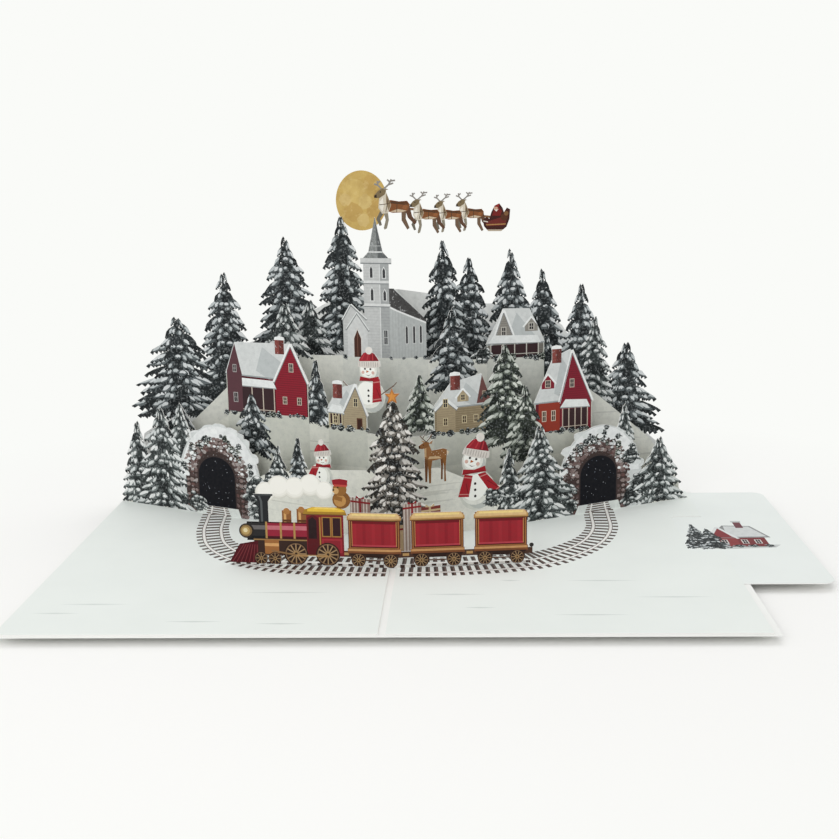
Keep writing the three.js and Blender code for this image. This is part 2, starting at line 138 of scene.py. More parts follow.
def bough(drawing, root, tip, wide, look, rng, snowy):
    """One drooping bough: dark needles with a ragged underside, and snow along the top."""
    needles, snow, _ = look
    (x0, y0), (x1, y1) = root, tip
    length = math.hypot(x1 - x0, y1 - y0)
    ux, uy = (x1 - x0) / length, (y1 - y0) / length
    nx, ny = (-uy, ux) if ux >= 0 else (uy, -ux)

    def at(along, across):
        return (x0 + ux * length * along + nx * wide * across, y0 + uy * length * along + ny * wide * across)

    under = []
    for i in range(5):
        along = 0.93 - i * 0.19
        drop = -0.7 * math.sin(math.pi * min(0.9, 0.2 + along * 0.72))
        under += [at(along + 0.04, drop - rng.uniform(0.05, 0.3)), at(along - 0.07, drop * 0.55)]
    top = [at(a, 0.46 * math.sin(math.pi * (0.15 + a * 0.8)) + rng.uniform(-0.07, 0.07)) for a in (0.0, 0.3, 0.6, 0.88)]
    drawing.cut(top + [at(1.05, -0.02)] + under, rng.choice(needles), "needle_print")
    if rng.random() > snowy:
        return
    lift = rng.uniform(0.02, 0.12)
    for tones, start, stop, thick in ((snow[2:], 0.1, 1.02, 0.3), (snow[:2], 0.32, 0.96, -0.02)):
        start += rng.uniform(-0.06, 0.12)
        stop -= rng.uniform(-0.03, 0.08)
        spread = stop - start
        upper = [at(start + spread * t, lift + 0.4 * math.sin(math.pi * (0.1 + t * 0.84))) for t in (0, 0.3, 0.65, 1)]
        lower = [at(start + spread * t, lift - (thick + rng.uniform(0, 0.22)) * math.sin(math.pi * t) - 0.02)
                 for t in (0.9, 0.7, 0.5, 0.3, 0.12)]
        drawing.add(upper + lower, rng.choice(tones), "snow_print")


def clump(drawing, x, z, wide, tall, look, rng, snowy):
    """A bough seen from its tip: a ragged dark fan under a cushion of snow."""
    needles, snow, _ = look
    teeth = []
    for i in range(5):
        u = 0.84 - i * 0.42
        teeth += [(x + wide * u, z - tall * rng.uniform(0.5, 0.85)), (x + wide * (u - 0.2), z - tall * 0.3)]
    over = [(x + wide * math.cos(t), z + tall * 0.5 * math.sin(t)) for t in (2.9, 2.2, 1.57, 0.9, 0.25)]
    drawing.cut(over + teeth[:9], rng.choice(needles), "needle_print")
    if rng.random() > snowy:
        return
    for tones, grow, low in ((snow[2:], 0.88, -0.2), (snow[:2], 0.62, 0.04)):
        cushion = [(x + wide * grow * math.cos(t), z + tall * (0.1 + 0.36 * math.sin(t))) for t in (3.0, 2.3, 1.6, 0.9, 0.15)]
        hem = [(x + wide * grow * u, z + tall * (low + rng.uniform(-0.12, 0.12))) for u in (0.6, 0.2, -0.2, -0.6)]
        drawing.add(cushion + hem, rng.choice(tones), "snow_print")


def spruce(drawing, place, foot, tip, half, look="dark", seed=0, pitch=BOUGH_PITCH, full=1.15, dense=2.6,
           swell=0.6):
    """A snowy spruce: a dark core, then its rows of boughs from the bottom up."""
    rng = random.Random(f"spruce {place} {tip} {seed}")
    style = NEEDLES[look]
    rows = max(6, round((tip - foot) / (pitch * 0.86)))
    row = (tip - foot) / rows
    core = style[0][2]
    drawing.cut([(place, tip - row * 0.4), (place + half * 0.74, foot + row * 0.9), (place, foot),
                 (place - half * 0.74, foot + row * 0.9)], core, "needle_print")
    for i in range(rows, 0, -1):
        reach = half * full * (i / rows) ** swell * min(1.0, 0.42 + 0.145 * i) * rng.uniform(0.88, 1.04)
        count = 3 + round(reach / dense)
        for k in sorted(range(count), key=lambda k: -abs(2 * k / (count - 1) - 1)):
            edge = 2 * k / (count - 1) - 1
            u = max(-1.0, min(1.0, edge + rng.uniform(-0.12, 0.12) * (1 - abs(edge))))
            level = tip - row * (i + rng.uniform(-0.28, 0.28))
            wide = min(row * rng.uniform(0.62, 0.95), 0.45 + reach * 0.4)
            if abs(u) < 0.2 and i > 2:
                clump(drawing, place + u * reach, level + row * 0.45, wide * rng.uniform(0.55, 0.8), wide, style, rng, style[2])
                continue
            end = (place + u * reach * rng.uniform(0.94, 1.08), level - row * rng.uniform(0.0, 0.26))
            start = (place + u * reach * 0.26, level + row * (0.66 + 0.4 * abs(u)))
            bough(drawing, start, end, wide, style, rng, style[2])
    drawing.cut([(place - 0.5, tip - row * 0.9), (place + 0.5, tip - row * 0.9), (place, tip)], core, "needle_print")


def bush(drawing, place, height, radius, look="pale", seed=0):
    """A low snowy bush: ragged clumps heaped into a mound."""
    rng = random.Random(f"bush {place} {height} {seed}")
    style = NEEDLES[look]
    drawing.cut(wobble(disc(place, height, radius * 0.8, 12), radius * 0.06, rng), style[0][2], "needle_print")
    count = 6 + round(radius * 2.4)
    spots = []
    for _ in range(count):
        turn, out = rng.uniform(0, 2 * math.pi), radius * math.sqrt(rng.random())
        spots.append((place + out * math.cos(turn), height + out * 0.9 * math.sin(turn)))
    for x, z in sorted(spots, key=lambda spot: spot[1]):
        size = radius * rng.uniform(0.26, 0.44)
        lean = (x - place) / radius
        if abs(lean) > 0.45:
            end = (x + lean * size * 1.3, max(0.3, z - size * 0.5))
            bough(drawing, (x - lean * size, max(0.9, z + size * 0.6)), end, size * 0.9, style, rng, 0.95)
        else:
            clump(drawing, x, max(size, z), size, size * 1.15, style, rng, 0.95)


def ground(drawing, snow, colour, shade):
    """The snowy ground of a sheet: its field of pale print, with soft drifts across it."""
    field = [(snow[0][0], 0), (snow[-1][0], 0)] + snow[::-1]
    drawing.cut(field, colour, "snow_print")
    rng = random.Random(f"drift {snow[0]}")
    for _ in range(16):
        (x0, z0), (x1, z1) = rng.choice(list(zip(snow, snow[1:])))
        t = rng.random()
        x, z = x0 + (x1 - x0) * t, (z0 + (z1 - z0) * t) * rng.uniform(0.35, 0.93)
        wide, tall = rng.uniform(6, 20), rng.uniform(0.3, 0.8)
        drift = [(x - wide, z), (x - wide * 0.4, z + tall), (x + wide * 0.5, z + tall * 0.6), (x + wide, z - 0.2), (x, z - tall * 0.4)]
        drawing.add(drift, shade, "snow_print")


# buildings

def window(drawing, x, z, wide, tall, frame_colour="cfc8bd", glass="2e2b2e", pointed=False):
    low, high = z - tall / 2, z + tall / 2
    if pointed:
        drawing.add([(x - wide / 2, low), (x + wide / 2, low), (x + wide / 2, high - wide * 0.5), (x, high + wide * 0.5),
                     (x - wide / 2, high - wide * 0.5)], frame_colour)
        inner = wide * 0.32
        drawing.add([(x - inner, low + 0.3), (x + inner, low + 0.3), (x + inner, high - wide * 0.5), (x, high + wide * 0.18),
                     (x - inner, high - wide * 0.5)], glass)
        return
    drawing.add(box(x - wide / 2, x + wide / 2, low, high), frame_colour)
    drawing.add(box(x - wide * 0.34, x + wide * 0.34, low + 0.35, high - 0.35), glass)
    drawing.line((x, low + 0.3), (x, high - 0.3), 0.22, frame_colour)
    drawing.line((x - wide * 0.34, z), (x + wide * 0.34, z), 0.22, frame_colour)


STACK_SHOWN = 8.5


def stack(drawing, place, top, foot, brick):
    """A brick chimney with a cap of snow."""
    drawing.cut(box(place - 2.5, place + 2.5, foot, top - 1.2), brick, "stone_print")
    drawing.add(box(place - 0.2, place + 2.5, foot, top - 1.2), "6d3834", "stone_print")
    drawing.cut([(place - 2.9, top - 1.6), (place + 2.9, top - 1.6), (place + 2.4, top - 0.2), (place, top + 0.3),
                 (place - 2.4, top - 0.2)], "eef0ef", "snow_print")


def cottage(drawing, left, right, eaves, ridge, foot, wall, dark_wall, trim, chimney=None, gable=None, dormer=None,
            porch=None, windows=(), door=None, brick="8c4b45", earth="c6c8be"):
    """A cottage under snow: walls, roof, the gable facing out, dormer, porch, windows and chimney."""
    (left_eave, right_eave), (ridge_a, ridge_b) = eaves, ridge
    drawing.cut([(left, 30), (right, 30), (right, right_eave), ridge_b, ridge_a, (left, left_eave)], earth, "snow_print")
    if chimney:
        stack(drawing, *chimney, left_eave, brick)
    low_eave = min(left_eave, right_eave)
    drawing.add(box(left + 0.4, right - 0.4, foot, low_eave), dark_wall)
    for i in range(int((low_eave - foot) / 1.1)):
        drawing.line((left + 0.4, foot + 0.6 + i * 1.1), (right - 0.4, foot + 0.6 + i * 1.1), 0.16, wall)
    roof = [(left - 0.6, left_eave - 1.4), (right + 0.4, right_eave - 1.4), ridge_b, ridge_a]
    drawing.cut(roof, "d2d5d4", "snow_print")
    middle = ((ridge_a[0] + ridge_b[0]) / 2, (ridge_a[1] + ridge_b[1]) / 2)
    drawing.add([(middle[0], middle[1] - 2), (right - 3, right_eave), (middle[0] + 3, low_eave - 1), (middle[0] - 4, low_eave + 3)],
                "bbc0c0", "snow_print")
    drawing.line((left - 0.6, left_eave - 1.4), (right + 0.4, right_eave - 1.4), 0.7, "9aa0a1")
    if chimney:
        stack(drawing, *chimney, chimney[1] - STACK_SHOWN, brick)
    if gable:
        x0, x1, apex = gable
        face = [(x0, foot), (x1, foot), (x1, low_eave - 1), apex, (x0, low_eave - 1)]
        drawing.add(face, wall)
        for i in range(int((apex[1] - foot) / 1.1)):
            z = foot + 0.6 + i * 1.1
            share = 1 if z < low_eave else max(0.05, (apex[1] - z) / (apex[1] - low_eave))
            mid = apex[0] if z > low_eave else (x0 + x1) / 2
            half = (x1 - x0) / 2 * share * 0.94
            drawing.line((mid - half, z), (mid + half, z), 0.14, dark_wall)
        for side in (x0 - 1.0, x1 + 1.0):
            drawing.line((side, low_eave - 2.2), (apex[0], apex[1] + 0.3), 1.35, "e9ebea", "snow_print", True)
            drawing.line((side * 0.98 + apex[0] * 0.02, low_eave - 3.0), (apex[0], apex[1] - 1.1), 0.4, "7c7f80")
        window(drawing, apex[0], low_eave + (apex[1] - low_eave) * 0.32, 2.6, 4.4, trim)
    if dormer:
        x, z, size = dormer
        drawing.add([(x - size, z - size), (x + size, z - size), (x + size, z), (x, z + size), (x - size, z)], wall)
        window(drawing, x, z - size * 0.3, size * 0.9, size * 1.1, trim)
        for way in (-1, 1):
            drawing.line((x + way * size * 1.3, z - size * 0.35), (x, z + size * 1.15), 0.9, "eceeed", "snow_print")
    if porch:
        x0, x1, z = porch
        drawing.add([(x0 - 1.4, z - 1.4), (x1 + 1.4, z - 2.0), (x1 - 0.5, z + 1.8), (x0 + 1.5, z + 2.6)], "e6e9e8", "snow_print")
        drawing.line((x0 - 1.4, z - 1.5), (x1 + 1.4, z - 2.1), 0.5, "8f9495")
        drawing.add(box(x0, x1, foot, z - 2.2), "382629")
        for i in range(5):
            x = x0 + (x1 - x0) * i / 4
            drawing.line((x, foot), (x, z - 1.9), 0.55, trim)
        drawing.line((x0, foot + 1.9), (x1, foot + 1.9), 0.35, trim)
    if door:
        x, tall = door
        drawing.add(box(x - 1.5, x + 1.5, foot, foot + tall), "5b3a2c")
        drawing.add(box(x - 1.0, x + 1.0, foot, foot + tall - 0.7), "3c241c")
    for x, z in windows:
        window(drawing, x, z, 2.5, 3.8, trim, "46372c")
    rng = random.Random(f"cottage {left}")
    place = left - 0.5
    while place < right + 0.5:
        radius = rng.uniform(0.9, 2.3)
        bush(drawing, place, foot + rng.uniform(-0.4, 0.5), radius, rng.choice(["pale", "pale", "green", "dark"]), 1)
        place += radius * rng.uniform(1.2, 3.4)


def church(drawing):
    """White timber church: nave with its dark roof, tower, louvred belfry, spire and front gable."""
    left, right, foot = -16.6, -3.8, 80.5
    white, grey, line_grey = "c3c5c4", "a5a8a8", "85898a"
    drawing.cut([(right - 1, 30), (14.2, 30), (14.2, 98.5), (right + 2.6, 114), (right - 1, 114)], "b3b7b6")
    drawing.add([(right - 1, 106), (14.6, 97.2), (14.6, 98.9), (right + 2.6, 114.2), (right - 1, 114.2)], "4b4b4b", "stone_print")
    drawing.line((right + 2.6, 114.1), (14.6, 98.8), 0.7, "d3d6d6", "snow_print")
    drawing.line((right - 1, 105.6), (14.6, 96.9), 0.8, "e2e4e3")
    for i in range(12):
        drawing.line((right + i * 1.5, foot), (right + i * 1.5, 104.6 - i * 0.75), 0.14, "9fa3a3")
    for x in (4.6, 8.2, 11.5):
        window(drawing, x, 91.5, 1.5, 8.6, "d5d6d4", "37373a", True)
    drawing.cut([(-27.8, 30), (-10.5, 30), (-10.5, 94), (-23.5, 105.5), (-27.8, 99)], "b9bcbb")
    drawing.add([(-27.4, foot), (-16.6, foot), (-16.6, 99), (-23.5, 105), (-27.4, 98.6)], white)
    for i in range(13):
        drawing.line((-27.2, foot + i * 1.4), (-16.8, foot + i * 1.4), 0.14, "a6aaaa")
    drawing.cut(box(left, right, 30, 128.3), white)
    drawing.add(box(left + 8.2, right, foot, 128.3), grey)
    for i in range(32):
        z = foot + 1.4 * i
        drawing.line((left, z), (left + 8.2, z), 0.13, "adb0b0")
        drawing.line((left + 8.2, z), (right, z), 0.13, "939797")
    drawing.line((left + 8.2, foot), (left + 8.2, 128), 0.5, "d6d8d7")
    for z in (105.4, 116.4):
        drawing.add(box(left - 0.5, right + 0.5, z, z + 1.2), "d9dbda")
        drawing.add(box(left - 0.5, right + 0.5, z - 0.5, z), line_grey)
    drawing.cut(box(left - 1.4, right + 1.4, 125.5, 128.3), "c9cbca")
    drawing.add(box(left - 1.4, right + 1.4, 125.5, 126.1), line_grey)
    axis, half, flare = (left + right) / 2, (right - left) / 2, (147.5 - 128.3) * 0.15
    spire = [(axis - half, 128.3), (axis + half, 128.3), (axis + half * 0.56, 128.3 + flare),
             (axis + half * 0.36, 128.3 + 3 * flare), (axis, 147.5), (axis - half * 0.36, 128.3 + 3 * flare),
             (axis - half * 0.56, 128.3 + flare)]
    drawing.cut(spire, "8f9392", "stone_print")
    drawing.add([(axis + 1.2, 128.3), (axis + half, 128.3), (axis + half * 0.56, 128.3 + flare),
                 (axis + half * 0.36, 128.3 + 3 * flare), (axis, 147.5)], "666a6b", "stone_print")
    drawing.line((axis - half * 0.56, 128.3 + flare), (axis + half * 0.56, 128.3 + flare), 0.6, "dcdedd")
    drawing.line((axis - half * 0.45, 128.3 + 2 * flare), (axis + half * 0.45, 128.3 + 2 * flare), 0.3, "b6b9b8")
    for x, z, tall in ((-12.6, 121.4, 5.4), (-6.2, 121, 4.8), (-12.4, 110.8, 6), (-6, 110.4, 5)):
        window(drawing, x, z, 2.1, tall, "dddfde", "3f4042", True)
    window(drawing, -5.9, 90.5, 2.4, 7.4, "c9cccb", "37373a")
    porch = [(-25.6, foot), (-15.2, foot), (-15.2, 94.4), (-20.6, 101.6), (-25.6, 94.8)]
    drawing.add(porch, "d0d2d1")
    for a, b in (((-26.4, 93.6), (-20.6, 101.9)), ((-14.4, 93.2), (-20.6, 101.9)), ((-28.2, 98.2), (-23.6, 105.9)),
                 ((-15.5, 98.6), (-23.6, 105.9))):
        drawing.line(a, b, 1.0, "8e9291", cut=True)
        drawing.line((a[0], a[1] + 0.5), (b[0], b[1] + 0.4), 0.5, "dfe2e1", "snow_print")
    drawing.add([(-22.9, foot), (-18.1, foot), (-18.1, 90), (-20.5, 95), (-22.9, 90)], "d8d6d2")
    drawing.add([(-22.3, foot), (-18.7, foot), (-18.7, 89.6), (-20.5, 93.8), (-22.3, 89.6)], "4a2d25")
    drawing.line((-20.5, foot), (-20.5, 92.4), 0.3, "7b5546")
    drawing.add(box(-28.5, 15, 30, foot), "d0d2cb", "snow_print")
    for x in (-27, -15.8, -3.5, 3, 9, 13.4):
        bush(drawing, x, foot, 0.9 + 0.5 * math.sin(x) ** 2, "dark", 3)


# figures

def snowman(drawing, balls, tilt, scarf_tails, scale=1.0, twigs=False):
    """Snowballs with soft shading, knitted hat, red scarf, coal buttons and a plain face."""
    for x, z, radius in balls[::-1]:
        drawing.cut(disc(x, z, radius), "cfd1c8", "snow_print")
        drawing.add(disc(x + radius * 0.16, z - radius * 0.2, radius * 0.76, 16), "bcc0bb", "snow_print")
        drawing.add(disc(x - radius * 0.08, z + radius * 0.1, radius * 0.84), "e4e5dd", "snow_print")
        drawing.add(disc(x - radius * 0.16, z + radius * 0.18, radius * 0.7, 16), "f4f5ef", "plain_print")
    x, z, radius = balls[0]
    turn = Matrix.Rotation(-tilt, 2)

    def lean(points):
        return [tuple(turn @ Vector((px * radius, py * radius)) + Vector((x, z))) for px, py in points]

    drawing.cut(lean([(-1.0, 0.6), (1.0, 0.6), (0.95, 1.05), (0.55, 1.6), (0, 1.8), (-0.55, 1.6), (-0.95, 1.05)]), "9d2531")
    drawing.add(lean([(0.1, 0.6), (1.0, 0.6), (0.95, 1.05), (0.55, 1.6), (0.2, 1.75)]), "7c1b27")
    drawing.cut(lean([(-1.12, 0.36), (-0.4, 0.28), (0.5, 0.32), (1.12, 0.5), (1.06, 0.98), (0.1, 0.92), (-1.04, 0.86)]),
                "d9d3cc", "snow_print")
    for i in range(9):
        drawing.add(lean([(-0.95 + i * 0.22, 0.42), (-0.87 + i * 0.22, 0.42), (-0.87 + i * 0.22, 0.84), (-0.95 + i * 0.22, 0.84)]),
                    "b9b2ab")
    for i in range(3):
        drawing.add(lean([(-0.8 + i * 0.55, 1.0), (-0.66 + i * 0.55, 1.0), (-0.36 + i * 0.38, 1.62), (-0.44 + i * 0.38, 1.62)]),
                    "b53a40")
    drawing.cut(lean(disc(0, 1.85, 0.34, 10)), "e4dfd8", "snow_print")
    for px in (-0.42, 0.12):
        drawing.add(lean(disc(px, 0.2, 0.1, 8)), "2b2726")
    drawing.add(lean([(-0.3, 0.08), (-0.02, -0.02), (-0.28, -0.16)]), "b4622f")
    for px in (-0.62, 0.36):
        drawing.add(lean(disc(px, -0.12, 0.15, 10)), "d9b3a6")
    drawing.add(lean([(-0.45, -0.3), (-0.1, -0.42), (0.22, -0.28), (-0.1, -0.36)]), "5b4540")
    collar = z - radius * 0.92
    drawing.cut([(x - radius * 1.0, collar), (x + radius * 1.0, collar + 0.4), (x + radius * 0.9, collar + radius * 0.5),
                 (x, collar + radius * 0.3), (x - radius * 0.9, collar + radius * 0.42)], "9c2029")
    drawing.line((x - radius * 0.8, collar + 0.5), (x + radius * 0.8, collar + 0.9), 0.35, "74161f")
    for tail in scarf_tails:
        drawing.cut(tail, "a3222c")
        (ax, az), (bx, bz) = tail[0], tail[2]
        drawing.line((ax * 0.6 + bx * 0.4, az * 0.6 + bz * 0.4), (bx, bz), 0.4, "741720")
        (cx, cz), (dx, dz) = tail[1], tail[3]
        for share in (0.12, 0.88):
            start = (ax + (dx - ax) * share, az + (dz - az) * share)
            end = (cx + (bx - cx) * share, cz + (bz - cz) * share)
            drawing.line(start, end, 0.5, "c5807c")
    bx, bz, br = balls[1]
    for i in range(3):
        drawing.add(disc(bx - br * 0.1, bz + br * (0.35 - 0.32 * i), br * 0.06 + 0.12, 8), "2d2a29")
    if twigs:
        for way, rise in ((-1, 5), (1, 6)):
            end = (bx + way * br * 1.6, bz + rise)
            drawing.line((bx + way * br * 0.7, bz + 1), end, 0.5, "6d5648", cut=True)
            drawing.line(end, (end[0] + way * 1.4, end[1] + 1.6), 0.4, "6d5648", cut=True)


def standing_deer(drawing, place, foot, height):
    """A young deer looking back at the train, on slim legs, with dappled flanks."""
    at = lambda x, z: (place + x * height, foot + z * height)

    def cut(points, colour):
        drawing.cut([at(x, z) for x, z in points], colour)

    cut([(-0.24, -0.16), (-0.19, -0.16), (-0.15, 0.4), (-0.25, 0.42)], "6b4528")
    cut([(0.17, -0.14), (0.22, -0.14), (0.23, 0.2), (0.26, 0.42), (0.16, 0.4), (0.18, 0.18)], "6b4528")
    cut([(-0.14, -0.2), (-0.09, -0.2), (-0.08, 0.14), (-0.04, 0.4), (-0.17, 0.4)], "86592f")
    cut([(0.26, -0.2), (0.31, -0.2), (0.3, 0.14), (0.34, 0.5), (0.2, 0.46), (0.26, 0.18)], "86592f")
    cut([(-0.24, 0.42), (-0.1, 0.34), (0.2, 0.37), (0.33, 0.44), (0.35, 0.58), (0.24, 0.62), (-0.04, 0.6), (-0.2, 0.62)], "8d6039")
    cut([(-0.25, 0.44), (-0.12, 0.42), (-0.06, 0.6), (-0.14, 0.78), (-0.26, 0.78)], "96683f")
    cut([(-0.4, 0.68), (-0.3, 0.66), (-0.14, 0.7), (-0.12, 0.8), (-0.2, 0.84), (-0.3, 0.8), (-0.4, 0.75)], "8a5c36")
    cut([(-0.14, 0.78), (-0.02, 0.86), (-0.06, 0.76)], "a67c54")
    cut([(-0.26, 0.8), (-0.34, 0.88), (-0.24, 0.84)], "a67c54")
    for tip_x, tip_z, bend in ((-0.36, 0.99, -0.3), (-0.06, 1.0, -0.1)):
        drawing.line(at(-0.2, 0.82), at(bend, 0.92), 0.5, "6a5645", cut=True)
        drawing.line(at(bend, 0.92), at(tip_x, tip_z), 0.45, "6a5645", cut=True)
        drawing.line(at(bend, 0.9), at(bend + 0.06, 1.0), 0.4, "6a5645", cut=True)
    cut([(0.33, 0.56), (0.4, 0.52), (0.36, 0.44)], "e2d4bd")
    drawing.add([at(-0.16, 0.4), at(0.2, 0.38), at(0.12, 0.44), at(-0.12, 0.46)], "cfb189")
    drawing.add([at(-0.25, 0.46), at(-0.2, 0.46), at(-0.2, 0.68), at(-0.25, 0.66)], "c9a87e")
    drawing.add([at(-0.4, 0.68), at(-0.36, 0.68), at(-0.36, 0.74), at(-0.4, 0.74)], "33241b")
    drawing.add(disc(*at(-0.27, 0.755), 0.28, 8), "1d1512")
    for i in range(9):
        drawing.add(disc(*at(-0.06 + 0.045 * i, 0.56 - 0.05 * (i % 3)), 0.2, 6), "dcc8a6")


def tunnel(drawing, left, right, spring, crown, cap, opening, seed):
    """A stone tunnel mouth: rough stones round a dark opening, with a heavy cap of snow."""
    rng = random.Random(f"tunnel {seed}")
    middle, half = (left + right) / 2, (right - left) / 2
    cap_left, cap_right, cap_spring, cap_crown = cap
    cap_mid, cap_half = (cap_left + cap_right) / 2, (cap_right - cap_left) / 2
    over = [(cap_mid + x * cap_half, cap_spring + y * (cap_crown - cap_spring)) for x, y in arc(0, 0, 1, 0, 180, 18)]
    drawing.cut([(cap_mid - cap_half, 0), (cap_mid + cap_half, 0)] + over, "ced2d1", "snow_print")
    for i in range(15):
        turn = math.radians(rng.uniform(0, 180))
        x, z = cap_mid + cap_half * 0.94 * math.cos(turn), cap_spring + (cap_crown - cap_spring) * 0.94 * math.sin(turn)
        lump = wobble(disc(x, z, rng.uniform(2.0, 5.0), 12, 0.6), 0.4, rng)
        drawing.cut(lump, rng.choice(["ced2d1", "dfe2e1", "d6dad9"]), "snow_print")
    drawing.add([(cap_mid + x * cap_half * 0.94, cap_spring + 1 + y * (cap_crown - cap_spring - 1.6))
                 for x, y in arc(0, 0, 1, 8, 172, 14)], "e6e8e8", "snow_print")
    wall = [(middle + x * half * 0.96, spring + y * (crown - spring) * 0.94) for x, y in arc(0, 0, 1, 0, 180, 16)]
    drawing.cut([(middle - half * 0.96, 0), (middle + half * 0.96, 0)] + wall, "453835", "stone_print")
    o_left, o_right, o_spring, o_crown = opening
    o_mid, o_half = (o_left + o_right) / 2, (o_right - o_left) / 2
    for ring in range(4):
        share = 0.24 + ring * 0.22
        for i in range(26):
            turn = math.radians(180 * (i + 0.5 * (ring % 2)) / 25)
            rx = o_half + (half - o_half) * share
            rz = (o_crown - o_spring) + ((crown - spring) - (o_crown - o_spring)) * share
            x, z = middle + rx * math.cos(turn) + (o_mid - middle) * (1 - share), spring + rz * math.sin(turn)
            stone(drawing, x, z, rng)
    for way in (-1, 1):
        for row in range(int(spring / 2.6) + 1):
            for k in range(3):
                x = o_mid + way * (o_half + 1.4 + k * (half - o_half) / 3.2) + rng.uniform(-0.3, 0.3)
                stone(drawing, x, 1.2 + row * 2.6, rng)
    inner = [(o_mid + x * o_half, o_spring + y * (o_crown - o_spring)) for x, y in arc(0, 0, 1, 0, 180, 16)]
    rim = [(o_mid + x * (o_half + 0.8), o_spring + y * (o_crown - o_spring + 0.8)) for x, y in arc(0, 0, 1, 0, 180, 16)]
    drawing.add([(o_mid - o_half - 0.8, 0.6), (o_mid + o_half + 0.8, 0.6)] + rim, "3a302f")
    drawing.add([(o_mid - o_half, 0.9), (o_mid + o_half, 0.9)] + inner, "0b0d14")
    drawing.add([(o_left - 3, 0), (o_right + 3, 0), (o_right + 1.4, 4.4), (o_left - 1, 4.2)], "dfe4e0", "snow_print")
    for i in range(4):
        drawing.line((o_mid - 7.6 + i * 0.5, 0.4 + i * 1.15), (o_mid + 7.6 - i * 0.5, 0.4 + i * 1.15), 0.55, "5f4a43")
    for way in (-1, 1):
        drawing.line((o_mid + way * 4.6, 0), (o_mid + way * 3.6, 4.3), 0.9, "f0efeb")
    for _ in range(34):
        x, z = o_mid + rng.uniform(-0.86, 0.86) * o_half, rng.uniform(5, o_crown - 1.5)
        if z < o_spring or ((x - o_mid) / o_half) ** 2 + ((z - o_spring) / (o_crown - o_spring)) ** 2 < 0.8:
            drawing.add(disc(x, z, rng.uniform(0.1, 0.22), 6), rng.choice(["8f96a6", "c8ccd4", "5f6674"]))
    for i in range(18):
        turn = math.radians(rng.uniform(10, 170))
        share = rng.uniform(0.8, 1.02)
        x, z = middle + half * share * math.cos(turn), spring + (crown - spring) * share * math.sin(turn) + 0.8
        bush(drawing, x, z, rng.uniform(1.1, 2.2), rng.choice(["green", "warm", "pale"]), i)
    for i in range(60):
        turn = math.radians(rng.uniform(0, 180))
        share = rng.uniform(0.66, 0.98)
        x, z = middle + half * share * math.cos(turn), spring + (crown - spring) * share * math.sin(turn)
        fleck = wobble(disc(x, z, rng.uniform(0.35, 1.1), 7, 0.7), 0.12, rng)
        if (x - o_mid) ** 2 / (o_half + 1) ** 2 + (z - o_spring) ** 2 / (o_crown - o_spring + 1) ** 2 > 1.1:
            drawing.add(fleck, rng.choice(["e4e6e6", "cdd1d1"]), "snow_print")
    for i in range(22):
        turn = math.radians(rng.uniform(2, 178))
        share = rng.uniform(0.8, 0.97)
        x, z = cap_mid + cap_half * share * math.cos(turn), cap_spring + (cap_crown - cap_spring) * share * math.sin(turn)
        if rng.random() < 0.45:
            bush(drawing, x, z, rng.uniform(1.2, 2.2), "pale", i)
        else:
            heap = wobble(disc(x, z, rng.uniform(1.4, 3.0), 10, 0.6), 0.3, rng)
            drawing.add(heap, rng.choice(["e6e9e8", "eef0ef", "dadedd"]), "snow_print")


def stone(drawing, x, z, rng):
    colour = rng.choice(["7a6663", "8c7b77", "5c4b49", "998a86", "493b39", "6a4f4b", "b0a8a5"])
    drawing.add(wobble(disc(x, max(z, 1.2), rng.uniform(1.0, 1.6), 6, 0.72), 0.2, rng), colour, "stone_print")


# the four scene sheets

FRONT_SNOW = [(-163, 3), (-120, 9), (-83, 19), (-75, 24), (-53, 29), (0, 34), (22, 33), (38, 25), (70, 16), (160, 4)]
VILLAGE_SNOW = [(-155, 3), (-136, 25), (-110, 41), (-93, 50), (-49, 53), (-36, 48), (71, 43), (102, 40), (130, 25), (153, 5)]
CHURCH_SNOW = [(-146, 9), (-126, 32), (-99, 56), (-73, 80), (-27, 81), (75, 76), (104, 55), (131, 32), (148, 7)]
FOREST_SNOW = [(-145, 9), (-139, 35), (-107, 55), (-97, 79), (-75, 85), (-51, 97), (-27, 110), (0, 111.5), (15, 109),
               (23, 104), (66, 102), (82, 91), (102, 60), (124, 36), (132, 29), (141, 6)]


